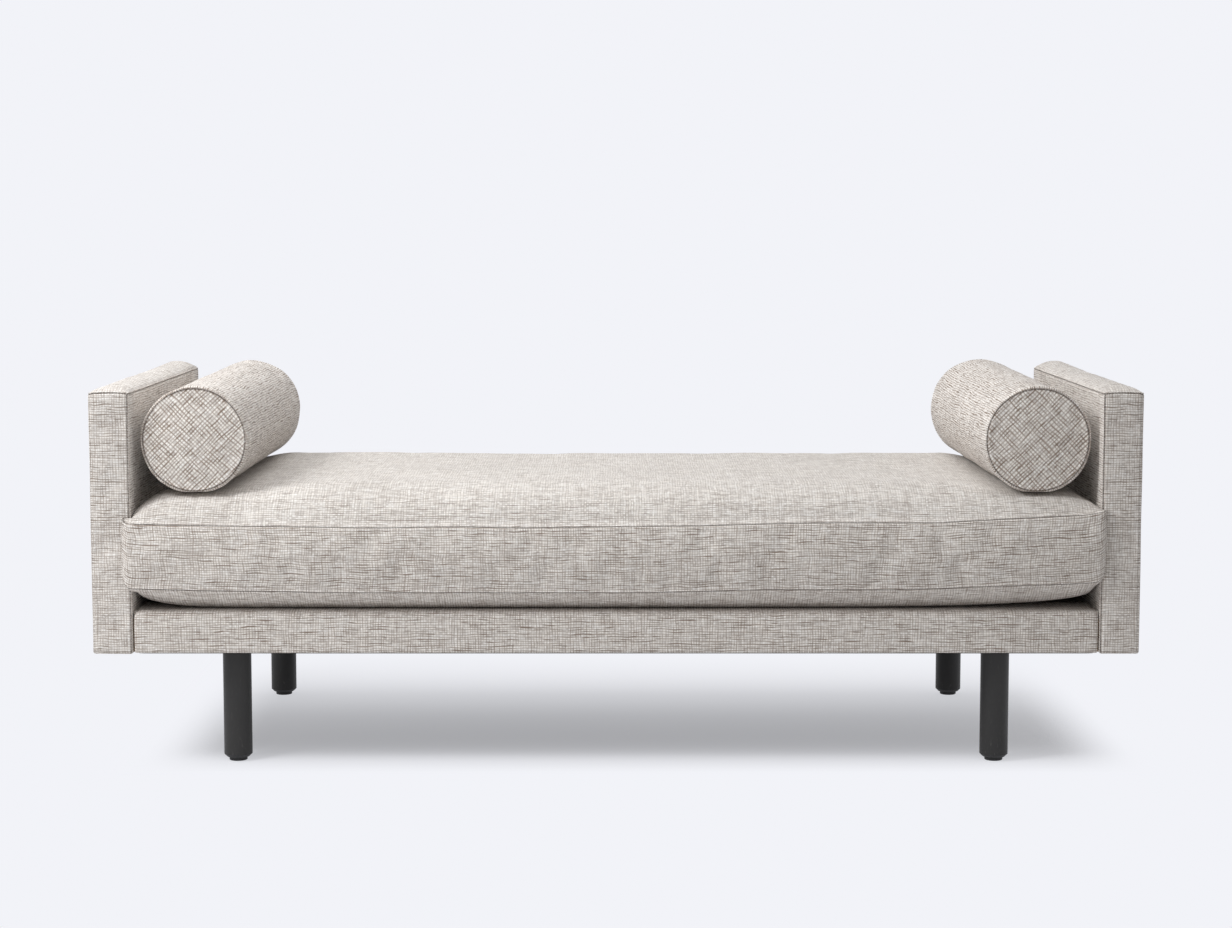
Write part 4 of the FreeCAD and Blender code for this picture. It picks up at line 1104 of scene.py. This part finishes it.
TAPE_HALF = 10.6
TAPE_SECTION = [(-TAPE_HALF, -0.5), (-TAPE_HALF, 0.0), (-7, 0.05), (-3.2, 0.1), (-1.4, 0.0), (-0.3, -0.15)]
TAPE_SECTION += [(-c, o) for c, o in reversed(TAPE_SECTION)]
COIL_PITCH, COIL_START = 1.35, 4
COIL_SIDES = 8
COIL_TURN = [(-3.1, 0.45), (-2.6, 0.9), (-1.0, 1.0), (0.55, 0.85), (0.95, 0.4)]


def zip_chain(name, node, body, middle, along, out, half, tape_out, coil_out):
    """Tape and coil, half their length each way from middle, with their faces turned out."""
    across = np.cross(out, along)

    def spot(a, c, o):
        return middle + np.outer(a, along) + np.outer(c, across) + np.outer(o, out)

    lengths = np.linspace(-half, half, int(half / 5))
    section = TAPE_SECTION
    side, proud = np.array(section).T
    n, m = len(lengths), len(section)
    points = np.concatenate([spot(np.full(m, a), side, proud + tape_out) for a in lengths])
    number = np.arange(n * m).reshape(n, m)
    faces, weave = [], []
    for i in range(n - 1):
        for j in range(m):
            j2 = (j + 1) % m
            faces.append([number[i, j], number[i, j2], number[i + 1, j2], number[i + 1, j]])
            weave += [(lengths[i], section[j][0]), (lengths[i], section[j2][0]),
                      (lengths[i + 1], section[j2][0]), (lengths[i + 1], section[j][0])]
    for i, turn in ((0, -1), (n - 1, 1)):
        faces.append(list(number[i])[::turn])
        weave += [(lengths[i], s[0]) for s in section[::turn]]
    base = len(points)
    count = int(2 * (half - COIL_START) / COIL_PITCH)
    ring = [(math.cos(k * math.pi / 4 + 0.39), math.sin(k * math.pi / 4 + 0.39)) for k in range(COIL_SIDES)]
    tall = (coil_out - tape_out) / 2
    coil = []
    for t in range(count):
        a = -half + COIL_START + (t + 0.5) * COIL_PITCH
        flip = 1 if t % 2 else -1
        for c, size in COIL_TURN:
            coil += [(a + q[0] * 0.6 * size, flip * c, tape_out + tall + q[1] * tall * size) for q in ring]
    points = np.concatenate([points, spot(*np.array(coil).T)])
    last = len(COIL_TURN) - 1
    turns = base + np.arange(len(coil)).reshape(count, -1, COIL_SIDES)
    for t in range(count):
        order = 1 if t % 2 else -1
        rows = turns[t]
        for s in range(last):
            for k in range(COIL_SIDES):
                k2 = (k + 1) % COIL_SIDES
                faces.append([rows[s, k], rows[s, k2], rows[s + 1, k2], rows[s + 1, k]][::order])
                weave += [(0.3 * k, 40 + s), (0.3 * k2, 40 + s), (0.3 * k2, 41 + s), (0.3 * k, 41 + s)]
        for s, turn in ((0, -1), (last, 1)):
            faces.append(list(rows[s])[::turn * order])
            weave += [(k * 0.2, 50) for k in range(COIL_SIDES)]
    layers = {"weave": np.array(weave) * MM, "seam": np.ones((len(weave), 2))}
    piece = make(name, points, faces, layers, body, TAPE)
    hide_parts(node)


X, Y, Z = np.eye(3)
zip_chain("seat_zip", "seat_zip_chain", "seat_cushion", middle=np.array([0, 0, 367.5]), along=X, out=Y,
          half=527.0, tape_out=384.5, coil_out=386.1)
for side_name, side in SIDES:
    bolster = side_name + "_bolster"
    out = np.array([side * math.sin(ZIP_ANGLE), 0, -math.cos(ZIP_ANGLE)])
    zip_chain(bolster + "_zip", bolster + "_zip_chain", bolster,
              middle=np.array([side * BOLSTER_X, 0, BOLSTER_Z]), along=Y, out=out,
              half=292.0, tape_out=88.0, coil_out=89.9)


# Materials of the CAD nodes that stay

GRAIN = {"rail": 0, "end_rail": 1, "bearer": 1, "cross": 1, "posts": 2, "arm_rails": 1, "blocks": 2}
slots = {part["node"]: part.get("material_slot") for part in frame["record"]["subparts"]}
for name, node in nodes.items():
    if node.hide_render:
        continue
    if slots[name] == "timber":
        grain = [k for word, k in GRAIN.items() if word in name][-1]
        material = TIMBER[grain]
    else:
        material = SOLIDS[slots[name]]
    node.data.materials.clear()
    node.data.materials.append(material)


# Light, floor and camera

PAPER = (0.887, 0.896, 0.939)
FLOOR_PALE = (0.80, 0.80, 0.81)
SKY_TINT, SKY = (1.0, 0.99, 0.985), 0.345
LAMPS = [
    ((-2.2, -1.4, 2.6), (0.0, 0.0, 0.35), 1.2, 65.0),
    ((-0.2, 0.1, 3.2), (0.0, 0.0, 0.3), 2.2, 39.0),
]
SHADOW_LEFT, SHADOW_RIGHT = (-0.86, -0.66), (0.78, 0.94)
SHADOW_DEPTH = [(-0.42, 0.0), (-0.32, 0.36), (-0.235, 0.55), (-0.145, 0.6), (0.04, 0.55), (0.24, 0.4),
                (0.46, 0.25), (0.8, 0.0)]
LAMP_CELLS = 6
CAMERA_PLACE, CAMERA_TILT = (0.0, -4.729, 0.963), 84.38
CAMERA_LENS, CAMERA_SENSOR = 73.7, 36.0


def seen_rays(tree):
    """1 for rays from the camera or seen in gloss or glass."""
    path = add_node(tree, "ShaderNodeLightPath").outputs
    total = path["Is Camera Ray"]
    for label in ("Is Glossy Ray", "Is Transmission Ray"):
        total = add_node(tree, "ShaderNodeMath", [total, path[label]], operation="MAXIMUM")
    return total


def light_world():
    scene.world = bpy.data.worlds.new("studio")
    tree = emptied(scene.world)
    dim = add_node(tree, "ShaderNodeBackground", [SKY_TINT, SKY])
    paper = add_node(tree, "ShaderNodeBackground", [PAPER, 1.0])
    choice = add_node(tree, "ShaderNodeMixShader", [seen_rays(tree), dim, paper])
    add_node(tree, "ShaderNodeOutputWorld", [choice])


light_world()


def aim(start, end):
    return (Vector(end) - Vector(start)).to_track_quat("-Z", "Y")


for number, (start, end, size, power) in enumerate(LAMPS):
    lamp = bpy.data.lights.new("lamp_%d" % number, "AREA")
    lamp.shape, lamp.size, lamp.energy = "SQUARE", size, power
    holder = show(lamp.name, lamp)
    holder.location = start
    holder.rotation_mode = "QUATERNION"
    holder.rotation_quaternion = aim(start, end)


def open_light(p):
    """Light on an open floor at points p, as the brightness of a white one."""
    total = np.full(len(p), SKY)
    for start, end, size, power in LAMPS:
        turn = np.array(aim(start, end).to_matrix())
        cells = ((np.arange(LAMP_CELLS) + 0.5) / LAMP_CELLS - 0.5) * size
        for a in cells:
            for b in cells:
                spot = np.array(start) + turn @ np.array([a, b, 0])
                way = spot - p
                far = np.linalg.norm(way, axis=1)
                facing = np.clip((way @ turn[:, 2]) / far, 0, None)
                share = power / (math.pi * LAMP_CELLS ** 2) * facing
                total += share * (way[:, 2] / far) / far ** 2 / math.pi
    return total


def floor_material():
    """Paper lit to an even level that keeps the shadow near the object, and plain paper further out."""
    material = bpy.data.materials.new("floor")
    tree = emptied(material)
    level = add_node(tree, "ShaderNodeAttribute", attribute_name="level").outputs["Fac"]
    near = add_node(tree, "ShaderNodeAttribute", attribute_name="near").outputs["Fac"]
    shown = add_node(tree, "ShaderNodeVectorMath", [PAPER, None, None, level], operation="SCALE")
    lit = add_node(tree, "ShaderNodeBsdfDiffuse", [shown])
    even = add_node(tree, "ShaderNodeEmission", [PAPER, 1.0])
    seen = add_node(tree, "ShaderNodeMixShader", [near, even, lit])
    unseen = add_node(tree, "ShaderNodeBsdfDiffuse", [FLOOR_PALE])
    final = add_node(tree, "ShaderNodeMixShader", [seen_rays(tree), unseen, seen])
    add_node(tree, "ShaderNodeOutputMaterial", [final])
    return material


def build_floor():
    far = np.geomspace(1.5, 40, 16)
    steps = np.concatenate([-far[::-1], np.linspace(-1.4, 1.4, 113), far])
    grid = np.array([[(x, y, 0.0) for y in steps] for x in steps])
    n = len(steps)
    number = np.arange(n * n).reshape(n, n)
    faces = np.stack([number[:-1, :-1], number[1:, :-1], number[1:, 1:], number[:-1, 1:]], 2).reshape(-1, 4)
    p = grid.reshape(-1, 3)
    piece = show_mesh("floor", p, faces)
    level = open_light(p)
    near = ease(*SHADOW_LEFT, p[:, 0]) * (1 - ease(*SHADOW_RIGHT, p[:, 0])) * curve(SHADOW_DEPTH, p[:, 1])
    for label, values in (("level", 1 / level), ("near", near)):
        layer = piece.data.attributes.new(label, "FLOAT", "POINT")
        layer.data.foreach_set("value", values.astype(np.float32))
    piece.data.materials.append(floor_material())


build_floor()

camera = show("camera", bpy.data.cameras.new("camera"))
camera.location = CAMERA_PLACE
camera.rotation_euler = (math.radians(CAMERA_TILT), 0.0, 0.0)
camera.data.lens, camera.data.sensor_width = CAMERA_LENS, CAMERA_SENSOR
scene.camera = camera
scene.view_settings.view_transform = "Standard"
